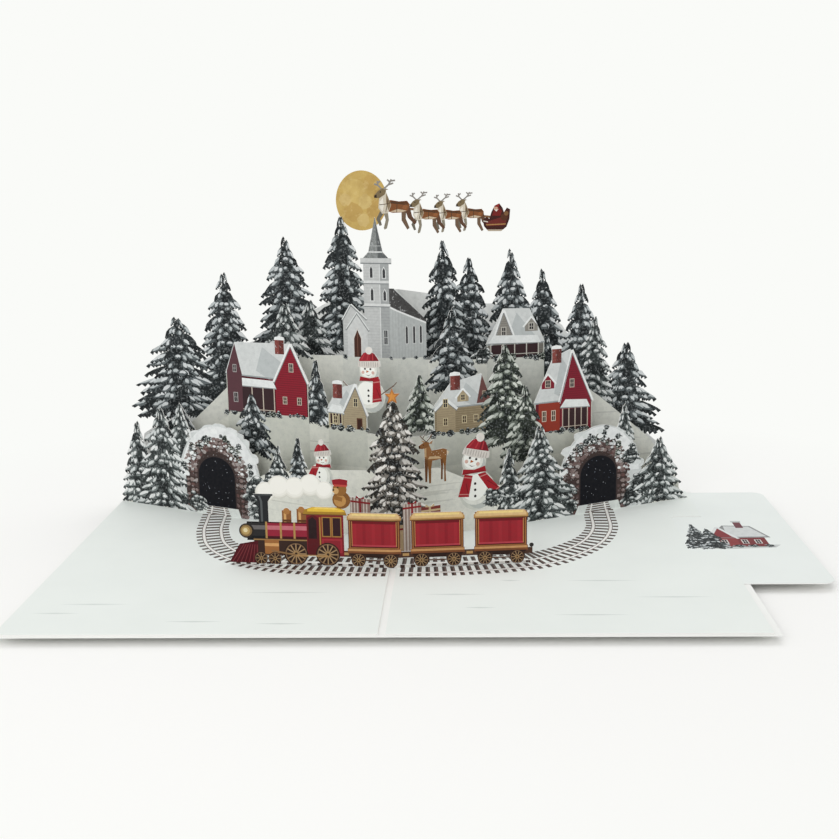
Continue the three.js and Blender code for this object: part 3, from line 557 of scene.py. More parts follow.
def front_drawing():
    drawing = Drawing()
    ground(drawing, FRONT_SNOW, "dfdfd6", "cecec5")
    spruce(drawing, 124, 30, 53, 7, "pale")
    spruce(drawing, -125, 10, 56, 11, "pale")
    spruce(drawing, -66, 19, 39, 7, "pale")
    spruce(drawing, -54, 24, 44.5, 5.6, "dark")
    snowman(drawing, [(-39.8, 35.5, 4.4), (-41.4, 26.4, 6.9)], -0.12, [
        [(-46, 31.5), (-42, 32), (-45, 25), (-49, 26)]])
    standing_deer(drawing, 19.4, 30, 19.5)
    snowman(drawing, [(40.2, 33.8, 6.4), (41.6, 19.6, 9.6)], 0.3, [
        [(35, 28), (39.4, 27), (37.2, 16.8), (31.6, 17.4)], [(42, 27.4), (46, 28), (54.6, 18.6), (50.4, 15.6)]])
    spruce(drawing, 59, 4, 38, 8, "pale")
    tunnel(drawing, -124, -84.5, 22, 40, (-127, -77, 18, 46.5), (-115, -92.5, 20, 30), "left")
    tunnel(drawing, 88.5, 127, 20, 38.5, (86, 135, 14, 44), (98.8, 119.6, 19, 28.5), "right")
    for x, z, radius in ((-117, 5.5, 5.5), (-80, 16, 7), (-70, 22, 5.5), (134, 12, 6), (128, 26, 5), (88, 12, 6.5),
                         (66, 12, 6), (50, 15, 5), (-161, 4, 3.4), (-79, 6, 5), (93, 4, 4), (128, 5, 5)):
        bush(drawing, x, z, radius)
    spruce(drawing, -154, 0, 43, 12.5, "pale")
    spruce(drawing, -138, 0, 51, 18, "pale")
    spruce(drawing, 145, 0, 33.5, 15, "pale")
    spruce(drawing, 76, 0, 46, 17, "pale")
    return drawing


def village_drawing():
    drawing = Drawing()
    ground(drawing, VILLAGE_SNOW, "d2d3c9", "c0c1b7")
    spruce(drawing, -42.5, 50, 80, 7, "dark")
    spruce(drawing, -122, 29, 54, 13, "dark")
    cottage(drawing, -93, -47, (73, 71), ((-87.5, 87.5), (-56, 88)), 52.5, "8a2230", "4d1720", "c4b8aa", (-62, 91.2),
            (-65, -48, (-56, 87.6)), None, (-91, -66, 67.5), ((-52, 60), (-60, 60)))
    drawing.add([(-92.6, 53), (-84, 53), (-84, 72), (-87.5, 86.8), (-92.6, 73)], "5a3a40")
    window(drawing, -88, 74.5, 2.2, 4, "a7a3a2", "2c2426")
    window(drawing, -88, 60, 2.6, 5, "a7a3a2", "2c2426")
    snowman(drawing, [(-13.8, 77, 5.3), (-13.7, 65, 7.9)], 0, [[(-12, 73), (-8.4, 73.6), (-7.6, 63), (-12.6, 62)]], 1, True)
    cottage(drawing, -36.5, -15.6, (59, 57.5), ((-31, 68), (-21.5, 70.5)), 48.5, "a99b80", "8d8068", "cbbf9f", (-31, 71.5),
            (-28, -16.4, (-21.5, 70)), None, (-35.6, -29, 57.5), ((-32.5, 52.6),), (-19.6, 5.6))
    spruce(drawing, 11.5, 48, 75, 9.3, "green")
    cottage(drawing, 18.5, 48, (59.5, 60), ((27, 70), (43, 73.5)), 46, "a5967a", "8a7c62", "cdbf9c", (29.5, 75),
            (20, 29.4, (24.4, 62.5)), (33.4, 63.6, 2.9), None, ((34, 52), (40, 52), (24.4, 51.5)))
    drawing.add([(43.2, 72.8), (48.2, 59.4), (40.4, 59.2)], "6a4542")
    window(drawing, 44.2, 63.6, 1.8, 3, "b3a391", "332722")
    cottage(drawing, 71, 102, (57.5, 58.5), ((80.5, 78), (90, 82)), 41.5, "7e2230", "5a1b25", "c4b6a8", (82.7, 84),
            (85, 101.4, (91, 81)), (78, 66.5, 3.4), (86, 99.6, 54.5), ((75.5, 49), (80.5, 49)))
    drawing.add(box(73, 84.5, 42, 56), "93392b")
    for x in (76, 81):
        window(drawing, x, 49.5, 2.4, 5.4, "d5c6b4", "3d2a22")
    spruce(drawing, 55.5, 38, 86.5, 16, "green", full=1.14)
    spruce(drawing, 66, 28, 65, 11.5, "green")
    spruce(drawing, -79, 32, 62, 12, "dark")
    return drawing


def church_drawing():
    drawing = Drawing()
    ground(drawing, CHURCH_SNOW, "d9dad2", "c8c9c2")
    church(drawing)
    spruce(drawing, -58.5, 80, 105, 12.5, "pale")
    spruce(drawing, 75, 68, 88, 9, "dark")
    cottage(drawing, 44.5, 74, (86, 86), ((53, 102), (66.5, 101.5)), 77.5, "8d8a83", "6f6c66", "c2bfb6", None,
            (48, 59, (53.2, 101)), (67.4, 93.6, 3.3), (46.5, 71, 86.4), ((53.2, 82),), earth="d0d2cb")
    spruce(drawing, 27, 64, 103, 12.5, "dark")
    bush(drawing, 42.5, 79.5, 4.2, "pale")
    return drawing


def forest_drawing():
    drawing = Drawing()
    ground(drawing, FOREST_SNOW, "dfe1df", "d0d2d0")
    for place, foot, tip, half in ((-57.5, 80, 136, 15.5), (-28.5, 80, 146.5, 13.5), (35, 72, 126.5, 11), (22, 78, 134.5, 10.5),
                                   (56, 78, 128.5, 11), (72, 72, 118.5, 10.5), (92, 54, 110, 11.5), (-91, 53, 118.5, 14.5),
                                   (115.5, 34, 80, 15.5), (-117.5, 45, 96, 21.5)):
        spruce(drawing, place, foot, tip, half, "dark", full=1.3)
    spruce(drawing, -46, 80, 106, 11, "pale")
    spruce(drawing, 99, 50, 94, 10, "pale")
    return drawing


# moon, reindeer and sleigh

def reindeer(drawing, x, z, size):
    """A leaping reindeer: slim legs, brown back, thick pale ruff, and branching antlers."""
    at = lambda points: moved(points, x, z, size)
    legs = [
        ([(2.4, -1.4), (4.2, -1.0), (4.0, -4.6), (5.4, -8.0), (4.5, -8.6), (2.4, -5.2)], "6f5a48"),
        ([(3.6, -0.8), (5.5, 0.2), (6.4, -3.6), (8.1, -5.9), (7.4, -6.8), (4.8, -4.2)], "5f4332"),
        ([(-5.6, -1.4), (-4.2, -2.2), (-5.8, -4.6), (-5.2, -6.9), (-6.1, -7.2), (-7.3, -4.6)], "6f6a5e"),
        ([(-4.6, -1.6), (-2.8, -2.0), (-2.5, -5), (-3.3, -8.1), (-4.2, -8.6), (-4.5, -8.0), (-3.7, -5)], "8d8676"),
    ]
    for points, colour in legs:
        drawing.cut(at(points), colour)
    drawing.cut(at([(-3.6, -1.6), (-1, -2.4), (2.5, -2.3), (4.8, -1.6), (5.7, 0.6), (4.6, 2.0), (1.5, 1.8), (-1.5, 2.3), (-4, 2.2)]),
                "80502f")
    drawing.add(at([(-1.5, 1.0), (2, 0.8), (5.2, 0.8), (4.5, 1.8), (1.5, 1.7), (-1.5, 2.1)]), "5c3a22")
    drawing.add(at([(-2, -2.0), (2.5, -2.2), (4.4, -1.6), (1, -1.0)]), "c9b79d")
    drawing.add(at([(2.6, -0.6), (4.2, -1.2), (5, 0.4), (3.8, 0.9)]), "955f39")
    drawing.cut(at([(-6.1, 2.6), (-6.4, -0.6), (-5.0, -2.7), (-2.8, -2.5), (-1.5, 0.4), (-2.5, 3.2), (-3.3, 5.2), (-5.2, 5.6)]),
                "cfc6b4", "snow_print")
    drawing.add(at([(-3.3, 5.0), (-2.5, 3.2), (-1.6, 0.4), (-2.6, -1.6), (-3.4, 1.6)]), "8c7a60")
    drawing.add(at([(-5.8, 1.8), (-5.9, -0.4), (-4.9, -2.0), (-4.3, 0.2), (-4.6, 3.2)]), "ebe5d8", "snow_print")
    drawing.cut(at([(-7.7, 4.3), (-7.9, 3.2), (-6.0, 3.0), (-3.8, 4.4), (-3.2, 6.2), (-4.8, 6.7), (-6.4, 5.7)]), "7c6c50")
    drawing.add(at([(-7.9, 4.0), (-7.9, 3.2), (-6.9, 3.1), (-7.0, 4.4)]), "2f2620")
    drawing.add(at(disc(-5.5, 5.3, 0.28, 8)), "1b1512")
    drawing.cut(at([(-3.8, 5.9), (-2.4, 6.2), (-3.4, 6.6)]), "8c7a60")
    branches = [((-4.2, 6.4), (-2.3, 8.0)), ((-2.3, 8.0), (-1.2, 9.9)), ((-2.4, 7.9), (-0.5, 8.5)), ((-1.8, 8.9), (-2.8, 9.8)),
                ((-1.5, 9.3), (0.2, 9.5)), ((-5.0, 6.4), (-6.4, 7.8)), ((-6.4, 7.8), (-6.6, 9.4)), ((-6.3, 7.7), (-7.8, 8.3)),
                ((-6.5, 8.5), (-5.5, 9.3))]
    for start, end in branches:
        drawing.line(*at([start, end]), 0.62 * size, "8f8b86", cut=True)
    for start, end in (((-2.6, 2.6), (-3.6, -2.2)), ((-6.0, 0.6), (-2.0, 1.0)), ((-2.2, 1.6), (5.0, 0.4)), ((0.8, 1.8), (0.6, -2.2))):
        drawing.line(*at([start, end]), 0.32, "4c3a2b")


def moon_drawing():
    drawing = Drawing()
    rng = random.Random("moon")
    drawing.cut([(-33.5, 112), (-23.9, 112), (-26.6, 140), (-24, 147), (-30, 147), (-30.6, 140)], "e8e8e6", "card_core")
    moon_disc = [(x, z) for x, z in arc(0, 0, 1, 0, 354, 59)]
    drawing.cut([(-17.8 + 12.9 * x, 154.5 + 14.4 * z) for x, z in moon_disc], "c5a863", "moon_print")
    for x, z, radius, colour in ((-21, 159, 6.2, "cdb26e"), (-10, 150, 5.4, "bd9c5b"), (-22, 149, 4.6, "bd9d5c"),
                                 (-13, 163, 3.8, "c0a05d"), (-8.5, 157, 3, "b29355"), (-17, 145, 3.2, "cdb375"),
                                 (-26, 155, 3, "cfb578"), (-16, 154, 3.6, "ceb576")):
        drawing.add(wobble(disc(x, z, radius, 18), 0.5, rng), colour, "moon_print")
    drawing.cut([(-1.1, 150.5), (48.5, 145.4), (48.5, 146.5), (-1.1, 151.6)], "7b5a3d")
    for x, z, size in ((36.7, 148.1, 1), (26, 147.5, 1), (14.7, 147.8, 1.08), (-1.1, 151.6, 1.3)):
        reindeer(drawing, x, z, size)
    x, z = 48.5, 139.5
    drawing.cut(moved([(-4.1, 0), (2.1, 0), (4.7, 2.1), (6.1, 5.7), (6.5, 10.3), (4.9, 11.1), (3.5, 8.9), (2.9, 10.9), (1.3, 13.1),
                       (-0.9, 12.1), (-2.5, 9.1), (-3.5, 5.9), (-5.1, 6.7), (-6.7, 5.1), (-6.1, 2.3)], x, z), "3f1e1a")
    drawing.add(moved([(-4.6, 2.4), (3.8, 2.7), (5.0, 6), (5.6, 9.6), (3.4, 7), (-3, 5.0), (-5.4, 4.4)], x, z), "6a2a25")
    drawing.add(moved([(-2.2, 7.4), (1.8, 7.2), (2.6, 9.6), (0.9, 11.4), (-1.2, 10.4)], x, z), "74221f")
    drawing.add(moved(disc(-0.4, 10.8, 1.0, 12), x, z), "c9a088")
    drawing.add(moved([(-1.3, 10.6), (-0.2, 9.2), (0.9, 10.4), (0.2, 10.2), (-0.6, 10.2)], x, z), "e8e2d8", "snow_print")
    drawing.add(moved([(-1.4, 11.5), (0.9, 11.4), (1.6, 12.9), (0.4, 12.7)], x, z), "8e2a26")
    drawing.add(moved(disc(3.6, 6.6, 1.7, 12), x, z), "54301f")
    drawing.add(moved(disc(4.6, 8.4, 1.1, 10), x, z), "7c5a3a")
    drawing.line((x - 5.8, z + 0.4), (x + 3.2, z + 0.4), 0.8, "b7a893", "snow_print")
    drawing.line((x - 5.2, z + 3.0), (x + 4.4, z + 3.4), 0.5, "a8814f")
    drawing.line((x - 4.2, z + 4.4), (x - 6.4, z + 4.8), 0.5, "d8cfc2", "snow_print")
    return drawing


# christmas tree and train

def star_points(x, y, radius):
    return [arc(x, y, radius * (0.45 if i % 2 else 1), 90 + i * 36, 90 + i * 36, 1)[0] for i in range(10)]


def gift(drawing, left, right, top, paper, ribbon, striped):
    drawing.cut(box(left, right, 0, top), paper)
    if striped:
        for i in range(int((right - left) / 1.6)):
            drawing.add(box(left + 0.3 + i * 1.6, left + 1.0 + i * 1.6, 0, top), "d9cdc4")
    middle = (left + right) / 2
    drawing.add(box(middle - 0.5, middle + 0.5, 0, top), ribbon)
    drawing.add(box(left, right, top - 2.4, top - 1.5), ribbon)
    for way in (-1, 1):
        drawing.cut([(middle, top - 0.4), (middle + way * 2, top + 1.1), (middle + way * 2.3, top - 0.2)], ribbon)


def fir_drawing():
    drawing = Drawing()
    drawing.cut(box(-16, 16, 0, 5.6), "a9a29a", "snow_print")
    spruce(drawing, 0, 9, 70.5, 18, "warm", pitch=4.7, full=1.08, dense=2.1, swell=0.5)
    gift(drawing, -23, -12.5, 24, "9b8078", "8e2b30", True)
    gift(drawing, 12, 22.5, 20, "7d3b35", "c9b38b", False)
    gift(drawing, 4, 13, 22.5, "a08a80", "962f33", True)
    gift(drawing, -14, -6, 16, "8c2a30", "d5c8b4", False)
    gift(drawing, -6, 4, 13, "b39a78", "7f2329", False)
    drawing.cut(star_points(0, 72.2, 3.9), "b9743a")
    drawing.add(star_points(0, 72.2, 2.5), "d39046")
    return drawing


def wheel(drawing, x, radius, spokes):
    drawing.cut(disc(x, radius, radius, 28), "2e211b")
    drawing.add(disc(x, radius, radius * 0.9, 24), "7d6048")
    drawing.add(disc(x, radius, radius * 0.8, 24), "33241d")
    for i in range(spokes):
        turn = math.pi * i / spokes
        dx, dz = math.cos(turn) * radius * 0.84, math.sin(turn) * radius * 0.84
        drawing.line((x - dx, radius - dz), (x + dx, radius + dz), radius * 0.1, "a98b66")
    drawing.add(disc(x, radius, radius * 0.24, 12), "a9875a")
    drawing.add(disc(x, radius, radius * 0.12, 8), "3a2a22")


def tube(drawing, left, right, low, high, dark, middle, light, cut=True):
    """A round body lying down: bands of shade from its dark underside to the gleam near its top."""
    drawing.add(box(left, right, low, high), middle, cut=cut)
    tall = high - low
    drawing.add(box(left, right, low, low + tall * 0.24), dark)
    drawing.add(box(left, right, low + tall * 0.58, low + tall * 0.8), light)
    drawing.add(box(left, right, low + tall * 0.93, high), dark)


def engine(drawing):
    rng = random.Random("smoke")
    puffs = ((-55.5, 33.2, 4.6), (-29.4, 34.4, 4.2), (-49.4, 35.6, 5.2), (-35.4, 36.6, 5), (-42.4, 35.2, 5))
    for share, lift, colour in ((1.0, 0.0, "cfcdc3"), (0.95, 0.05, "dcdad1"), (0.87, 0.1, "e6e4dc"), (0.74, 0.16, "eeece5")):
        for x, z, radius in puffs:
            spots = disc(x - radius * 0.06, z + radius * lift, radius * share, 24)
            drawing.add(spots if share == 1.0 else wobble(spots, 0.12, rng), colour, "plain_print", share == 1.0)
    drawing.cut(disc(-22, 30.4, 4, 18), "80552c")
    drawing.add(disc(-22.6, 30, 2.7, 14), "b98a4f")
    drawing.cut(disc(-22.6, 35.2, 3.1, 18), "8f6232")
    drawing.cut(disc(-20.2, 37.2, 1.1, 10), "7a4f28")
    drawing.add(disc(-24.4, 34.4, 1.4, 12), "c9a06a")
    drawing.add(disc(-25.4, 34.8, 0.45, 8), "231a16")
    drawing.add(disc(-23.4, 36.0, 0.35, 8), "231a16")
    drawing.add([(-26, 30.8), (-24.8, 32.4), (-21.4, 31.4), (-21.8, 29.6)], "8f6232")
    drawing.cut([(-25.6, 37.0), (-19.4, 36.7), (-19.0, 39.3), (-22.4, 39.9), (-26, 39.4)], "8f1f28")
    drawing.add([(-25.8, 36.5), (-19.3, 36.2), (-19.3, 37.1), (-25.8, 37.4)], "b94a40")
    place = -57
    drawing.cut([(place - 2.2, 15.8), (place + 2.2, 15.8), (place + 2.2, 29), (place + 4.4, 32.4), (place - 4.4, 32.4),
                 (place - 2.2, 29)], "26282a")
    drawing.add([(place - 1.2, 16), (place - 0.3, 16), (place - 0.3, 29), (place - 1.4, 32), (place - 2.4, 32), (place - 1.3, 29)], "565a5b")
    drawing.line((place - 4.4, 32), (place + 4.4, 32), 0.9, "3d4142")
    for x, top in ((-46.6, 25.2), (-40, 26)):
        drawing.cut(box(x - 2.1, x + 2.1, 11, top), "8a5a34")
        drawing.add(box(x - 1.3, x - 0.2, 18, top - 0.6), "d2a469")
        drawing.add(box(x - 2.1, x + 2.1, 20, 21), "5b3620")
        drawing.cut(disc(x, top - 0.4, 1.5, 12), "a97542")
    tube(drawing, -64.8, -36, 11.2, 19.8, "45141a", "92283a", "c4707a")
    tube(drawing, -64.8, -56, 11.2, 19.8, "17181a", "2c2a2b", "6b6767")
    for x in (-56, -49.5, -43.4):
        drawing.add(box(x - 0.45, x + 0.45, 11.2, 19.8), "b08a52")
    drawing.cut(disc(-65.0, 15.5, 3.4, 20), "2b2522")
    drawing.add(disc(-65.2, 15.5, 2.7, 18), "8a7048")
    drawing.add(disc(-65.4, 15.5, 1.9, 16), "b79a62")
    drawing.add(disc(-65.5, 15.7, 1.0, 12), "e2d3a8")
    drawing.cut(box(-61.8, -21.4, 4.6, 12.2), "3a2822")
    drawing.line((-62, 11.6), (-36, 11.6), 0.6, "9c7b4c")
    drawing.add(box(-57, -50.6, 5, 11.6), "a06a3c")
    drawing.add(box(-57, -50.6, 8.6, 10), "d5a269")
    drawing.cut([(-73.4, 0.8), (-68.4, 9.4), (-60, 11), (-60, 0.8)], "4f151d")
    for i in range(7):
        drawing.line((-72 + i * 1.9, 1.0), (-66.5 + i * 1.0, 9.2), 0.35, "7a3438")
    drawing.cut(box(-37.9, -21.4, 4.6, 24), "7e2029")
    drawing.add([(-37.6, 4.8), (-32, 4.8), (-32, 21.6), (-34.8, 23.6), (-37.6, 22)], "5a1a1f")
    drawing.add([(-37.0, 12.5), (-33.4, 12.5), (-33.4, 20.8), (-35.2, 22.4), (-37.0, 21)], "2a1a1c")
    drawing.line((-31.9, 4.8), (-31.9, 22.4), 0.6, "a8803f")
    for left, right in ((-30.6, -27.4), (-26.2, -22.8)):
        drawing.add(box(left - 0.5, right + 0.5, 13.4, 22.6), "a37a3e")
        drawing.add(box(left, right, 13.9, 22.1), "331c20")
    drawing.add(box(-31.2, -22.2, 6.2, 12.6), "a3313a")
    drawing.add(box(-30.4, -23, 7, 11.8), "8c2630")
    drawing.cut([(-39.5, 23.4), (-19.8, 23.4), (-20.6, 25.8), (-24, 27), (-35, 27), (-38.6, 25.8)], "a8812f")
    drawing.add([(-37.4, 24.9), (-20.4, 24.9), (-21.6, 26.0), (-25, 26.8), (-35, 26.8), (-37.2, 26.0)], "e3bb45")
    drawing.add([(-34.4, 26.2), (-23.4, 26.0), (-25.4, 26.8), (-33.6, 26.9)], "f0d06a")
    drawing.line((-39.5, 23.5), (-19.8, 23.5), 0.5, "6e4a2a")
    for x in (-52.6, -58.9):
        wheel(drawing, x, 3, 4)
    for x in (-28.7, -43):
        wheel(drawing, x, 5.4, 6)
    drawing.line((-43, 4.6), (-28.7, 4.6), 0.9, "b08b5b")
    drawing.line((-54, 6.6), (-43, 4.8), 0.7, "8c6b47")


def car(drawing, left):
    """A goods car: red panel in a bronze frame, tan roof, and a dark underframe on two wheels."""
    right = left + 22.8
    drawing.cut(box(left, right, 6, 24.2), "5b231f")
    drawing.add(box(left + 0.4, right - 0.4, 8.4, 21.8), "9c6a3c")
    drawing.add(box(left + 1.0, right - 1.0, 9.0, 21.4), "4b1518")
    drawing.add(box(left + 1.5, right - 1.5, 9.5, 20.9), "97262f")
    for i in range(5):
        drawing.add(box(left + 2.2 + i * 4.1, left + 3.6 + i * 4.1, 9.9, 20.5), ["9f2a33", "8d212b"][i % 2])
    drawing.add(box(left + 1.5, right - 1.5, 19.8, 20.9), "6f1820")
    drawing.add(box(left + 1.5, right - 1.5, 9.5, 10.3), "b2404a")
    drawing.line((left + 1.6, 9.6), (left + 1.6, 20.8), 0.3, "c08d52")
    drawing.line((right - 1.6, 9.6), (right - 1.6, 20.8), 0.3, "c08d52")
    drawing.cut([(left - 0.5, 21.2), (right + 0.5, 21.2), (right + 0.5, 23.0), (right - 1.2, 24.7), (left + 1.2, 24.7),
                 (left - 0.5, 23.0)], "b98f58")
    drawing.add([(left + 0.2, 22.2), (right - 0.2, 22.2), (right - 0.2, 23.2), (right - 1.4, 24.5), (left + 1.4, 24.5),
                 (left + 0.2, 23.2)], "d9b884")
    drawing.add(box(left + 1.8, right - 1.8, 23.4, 24.3), "ecd28c")
    drawing.line((left - 0.5, 21.3), (right + 0.5, 21.3), 0.5, "6b4527")
    drawing.cut(box(left - 0.4, right + 0.4, 6.2, 8.6), "7d4e30")
    drawing.add(box(left - 0.2, right + 0.2, 7.3, 8.3), "c79562")
    drawing.cut([(left + 0.2, 6.3), (right - 0.2, 6.3), (right - 1.6, 4.4), (left + 1.6, 4.4)], "2f1f1a")
    drawing.line((left + 4.3, 3.2), (right - 4.3, 3.2), 0.6, "5a4030", cut=True)
    for x in (left + 4.3, right - 4.3):
        drawing.cut(box(x - 3.4, x + 3.4, 3.6, 5.6), "3a281f")
        wheel(drawing, x, 3.2, 5)


def train_drawing():
    drawing = Drawing()
    drawing.cut(box(-71.4, 61.3, 0, 1.4), "d9d6d0")
    for i in range(29):
        drawing.add(box(-70.4 + i * SLEEPER_PITCH, -68.4 + i * SLEEPER_PITCH, 0, 1.4), "43322c")
    drawing.cut(box(-21.4, 61.3, 4.6, 7.4), "4c352a")
    for x in (-21, 5.6, 33.5):
        drawing.add(box(x - 1.2, x + 1.6, 5.4, 6.6), "b9935f")
    engine(drawing)
    for left in (-19.4, 8.3, 36.1):
        car(drawing, left)
    drawing.cut(disc(60.9, 8.4, 1.0, 10), "2d2a28")
    return drawing


# liners with the printed track, and the note card

TRACK = [(-95, 88), (-94.5, 74), (-92.5, 50), (-90.5, 33), (-84.5, 12), (-73, -5), (-58.5, -15.5), (-41, -21.5), (-20, -24.3),
         (0, -25), (18, -24.8), (38, -22.6), (55, -18.8), (68, -13), (80.5, -1), (90.5, 14), (96.5, 33), (97.6, 52), (98, 72), (98, 88)]
SLEEPER_PITCH = 4.6
TRACK_HALF = 7.6
RAIL_OFFSET = 4.1


def track_path():
    """Points a millimetre apart along the track, each with its direction."""
    smooth = []
    for i in range(1, len(TRACK) - 2):
        a, b, c, d = (Vector(TRACK[i + k]) for k in (-1, 0, 1, 2))
        for k in range(40):
            t = k / 40
            smooth.append(0.5 * ((2 * b) + (c - a) * t + (2 * a - 5 * b + 4 * c - d) * t * t + (3 * b - a - 3 * c + d) * t ** 3))
    path, last = [], smooth[0]
    for spot in smooth[1:]:
        if (spot - last).length >= 1.0:
            path.append((spot, (spot - last).normalized()))
            last = spot
    return path


def lay_track(drawing, side):
    """Sleepers, closer together along the front, and two pale rails with dark edges."""
    path = [step for step in track_path() if side * step[0].x > 2.0]
    if side < 0:
        path = path[::-1]
    across = lambda direction: Vector((-direction.y, direction.x))
    gone, next_sleeper = 0.0, 1.2
    for (spot, direction), (ahead, _) in zip(path, path[1:]):
        step = (ahead - spot).length
        while gone <= next_sleeper < gone + step:
            point = spot + (ahead - spot) * ((next_sleeper - gone) / step)
            facing = abs(direction.x) ** 2
            next_sleeper += SLEEPER_PITCH - 1.0 * facing
            inward = 1 if across(direction).y > 0 else -1
            near = point - across(direction) * inward * (TRACK_HALF + 1.2 * facing)
            far = point + across(direction) * inward * (TRACK_HALF + 8.0 * facing)
            drawing.line(tuple(near), tuple(far), 2.1 - 0.2 * facing, "3d2d29", "plain_print")
            shine = direction * 0.4
            drawing.line(tuple(near + shine), tuple(far + shine), 0.4, "78625a", "plain_print")
        gone += step
    for offset in (-RAIL_OFFSET, RAIL_OFFSET):
        for wide, colour in ((1.9, "6a5d57"), (1.3, "efeeea")):
            for (a, da), (b, db) in zip(path[::3], path[3::3]):
                drawing.line(tuple(a + across(da) * offset), tuple(b + across(db) * offset), wide, colour, "plain_print")


def drifts(drawing, strokes):
    for x0, x1, y in strokes:
        middle = (x0 + x1) / 2
        drawing.add([(x0, y), (middle, y - 0.9), (x1, y - 0.2), (middle, y + 0.5)], "d5dbd7", "plain_print")


def left_liner_drawing():
    drawing = Drawing(False)
    drawing.cut(box(-149, -1.5, -99, 99), "ebf0ec", "plain_print")
    drifts(drawing, [(-142, -122, -76), (-86, -63, -85.5), (-60, -24, -53), (-134, -104, -66), (-50, -30, -88)])
    lay_track(drawing, -1)
    return drawing


def right_liner_drawing():
    drawing = Drawing(False)
    inner, front, back = 132, -3, 53
    drawing.cut([(1.5, -99), (147, -99), (147, front)] + arc(inner + 4, front + 4, 4, 270, 180, 6)
                + arc(inner + 4, back - 4, 4, 180, 90, 6) + [(147, back), (147, 99), (1.5, 99)], "ebf0ec", "plain_print")
    drifts(drawing, [(74, 104, -40), (46, 55, -39.4), (31, 44, -71.3), (66, 96, -79.5), (14, 40, -56), (100, 132, -60)])
    lay_track(drawing, 1)
    return drawing


def note_drawing():
    drawing = Drawing(False)
    left, right, front, back = 82, 186, -44, 96.5
    drawing.cut([(left, front)] + arc(right - 6, front + 6, 6, 270, 360, 8) + arc(right - 6, back - 6, 6, 0, 90, 8)
                + [(left, back)], "ebf0ed", "plain_print")
    x, y = 153, 6
    drawing.add([(135, 5), (150, 2), (172, 4), (175, 8), (150, 11), (138, 10)], "c9cecc", "snow_print")
    drawing.add(box(x - 6, x + 17, y, y + 15), "8f3d3f")
    drawing.add(box(x + 4, x + 17, y, y + 15), "7a3236")
    for i in range(7):
        drawing.line((x - 6, y + 1.4 + 2 * i), (x + 17, y + 1.4 + 2 * i), 0.3, "6a2b2f")
    drawing.add([(x - 9, y + 12), (x + 20, y + 13), (x + 14, y + 31), (x + 1, y + 32)], "8d8f8f")
    drawing.add([(x + 0.5, y + 14), (x + 18.5, y + 14.5), (x + 13.2, y + 30), (x + 1.4, y + 31)], "d4d8d7", "snow_print")
    drawing.add([(x - 7, y + 13), (x + 3, y + 13), (x - 2, y + 28)], "86353a")
    drawing.line((x - 8.6, y + 11.4), (x - 2, y + 29.6), 1.5, "dfe2e1", "snow_print")
    drawing.line((x + 4.8, y + 11.4), (x - 2, y + 29.6), 1.5, "dfe2e1", "snow_print")
    drawing.add(box(x + 7, x + 10.6, y + 28, y + 38), "70434a")
    drawing.add(box(x + 6.4, x + 11.2, y + 37, y + 39.4), "c9cdcc", "snow_print")
    for dx in (-2.2, 7, 13):
        window(drawing, x + dx, y + 7, 3, 6, "e0dcd6", "3a3038")
    drawing.line((x - 8, y - 0.2), (x + 19, y - 0.2), 0.8, "5c4a48")
    for dx in (-5, 3, 10, 17):
        bush(drawing, x + dx, y + 0.8, 2.2, "dark", 9)
    for place, foot, tip, half in ((139.5, 5, 40, 6), (145.5, 4, 33, 6), (136.5, 4, 22, 5)):
        spruce(drawing, place, foot, tip, half, "dark", 5, 4.4)
    return drawing


# from drawing to printed card

BIN = 4.0


def holds(ring, x, y):
    """Whether a closed ring of points holds the spot."""
    inside = False
    x0, y0 = ring[-1]
    for x1, y1 in ring:
        if (y1 > y) != (y0 > y) and x < (x0 - x1) * (y - y1) / (y0 - y1) + x1:
            inside = not inside
        x0, y0 = x1, y1
    return inside


def arranged(shapes, fold_line):
    """Flattens overlapping shapes into triangles, each showing the shape laid down last."""
    points, edges, faces, bins, spans = [], [], [], {}, []
    for number, (ring, _, _, _) in enumerate(shapes):
        start = len(points)
        points += [Vector(p) for p in ring]
        faces.append(list(range(start, start + len(ring))))
        xs, ys = [p[0] for p in ring], [p[1] for p in ring]
        spans.append((min(xs), max(xs), min(ys), max(ys)))
        for column in range(math.floor(min(xs) / BIN), math.floor(max(xs) / BIN) + 1):
            for level in range(math.floor(min(ys) / BIN), math.floor(max(ys) / BIN) + 1):
                bins.setdefault((column, level), []).append(number)
    if fold_line:
        low = min(p.y for p in points)
        high = max(p.y for p in points)
        edges.append((len(points), len(points) + 1))
        points += [Vector((0, low)), Vector((0, high))]
    spots, _, cells, _, _, _ = delaunay_2d_cdt(points, edges, faces, 0, 1e-4)
    kept = []
    for cell in cells:
        x = sum(spots[i].x for i in cell) / len(cell)
        y = sum(spots[i].y for i in cell) / len(cell)
        top = None
        for number in reversed(bins.get((math.floor(x / BIN), math.floor(y / BIN)), ())):
            ring, _, _, is_cut = shapes[number]
            left, right, low, high = spans[number]
            within = left < x < right and low < y < high
            if within and (top is None or is_cut) and holds(ring, x, y):
                top = number if top is None else top
                if is_cut:
                    kept.append((cell, top))
                    break
    return spots, kept


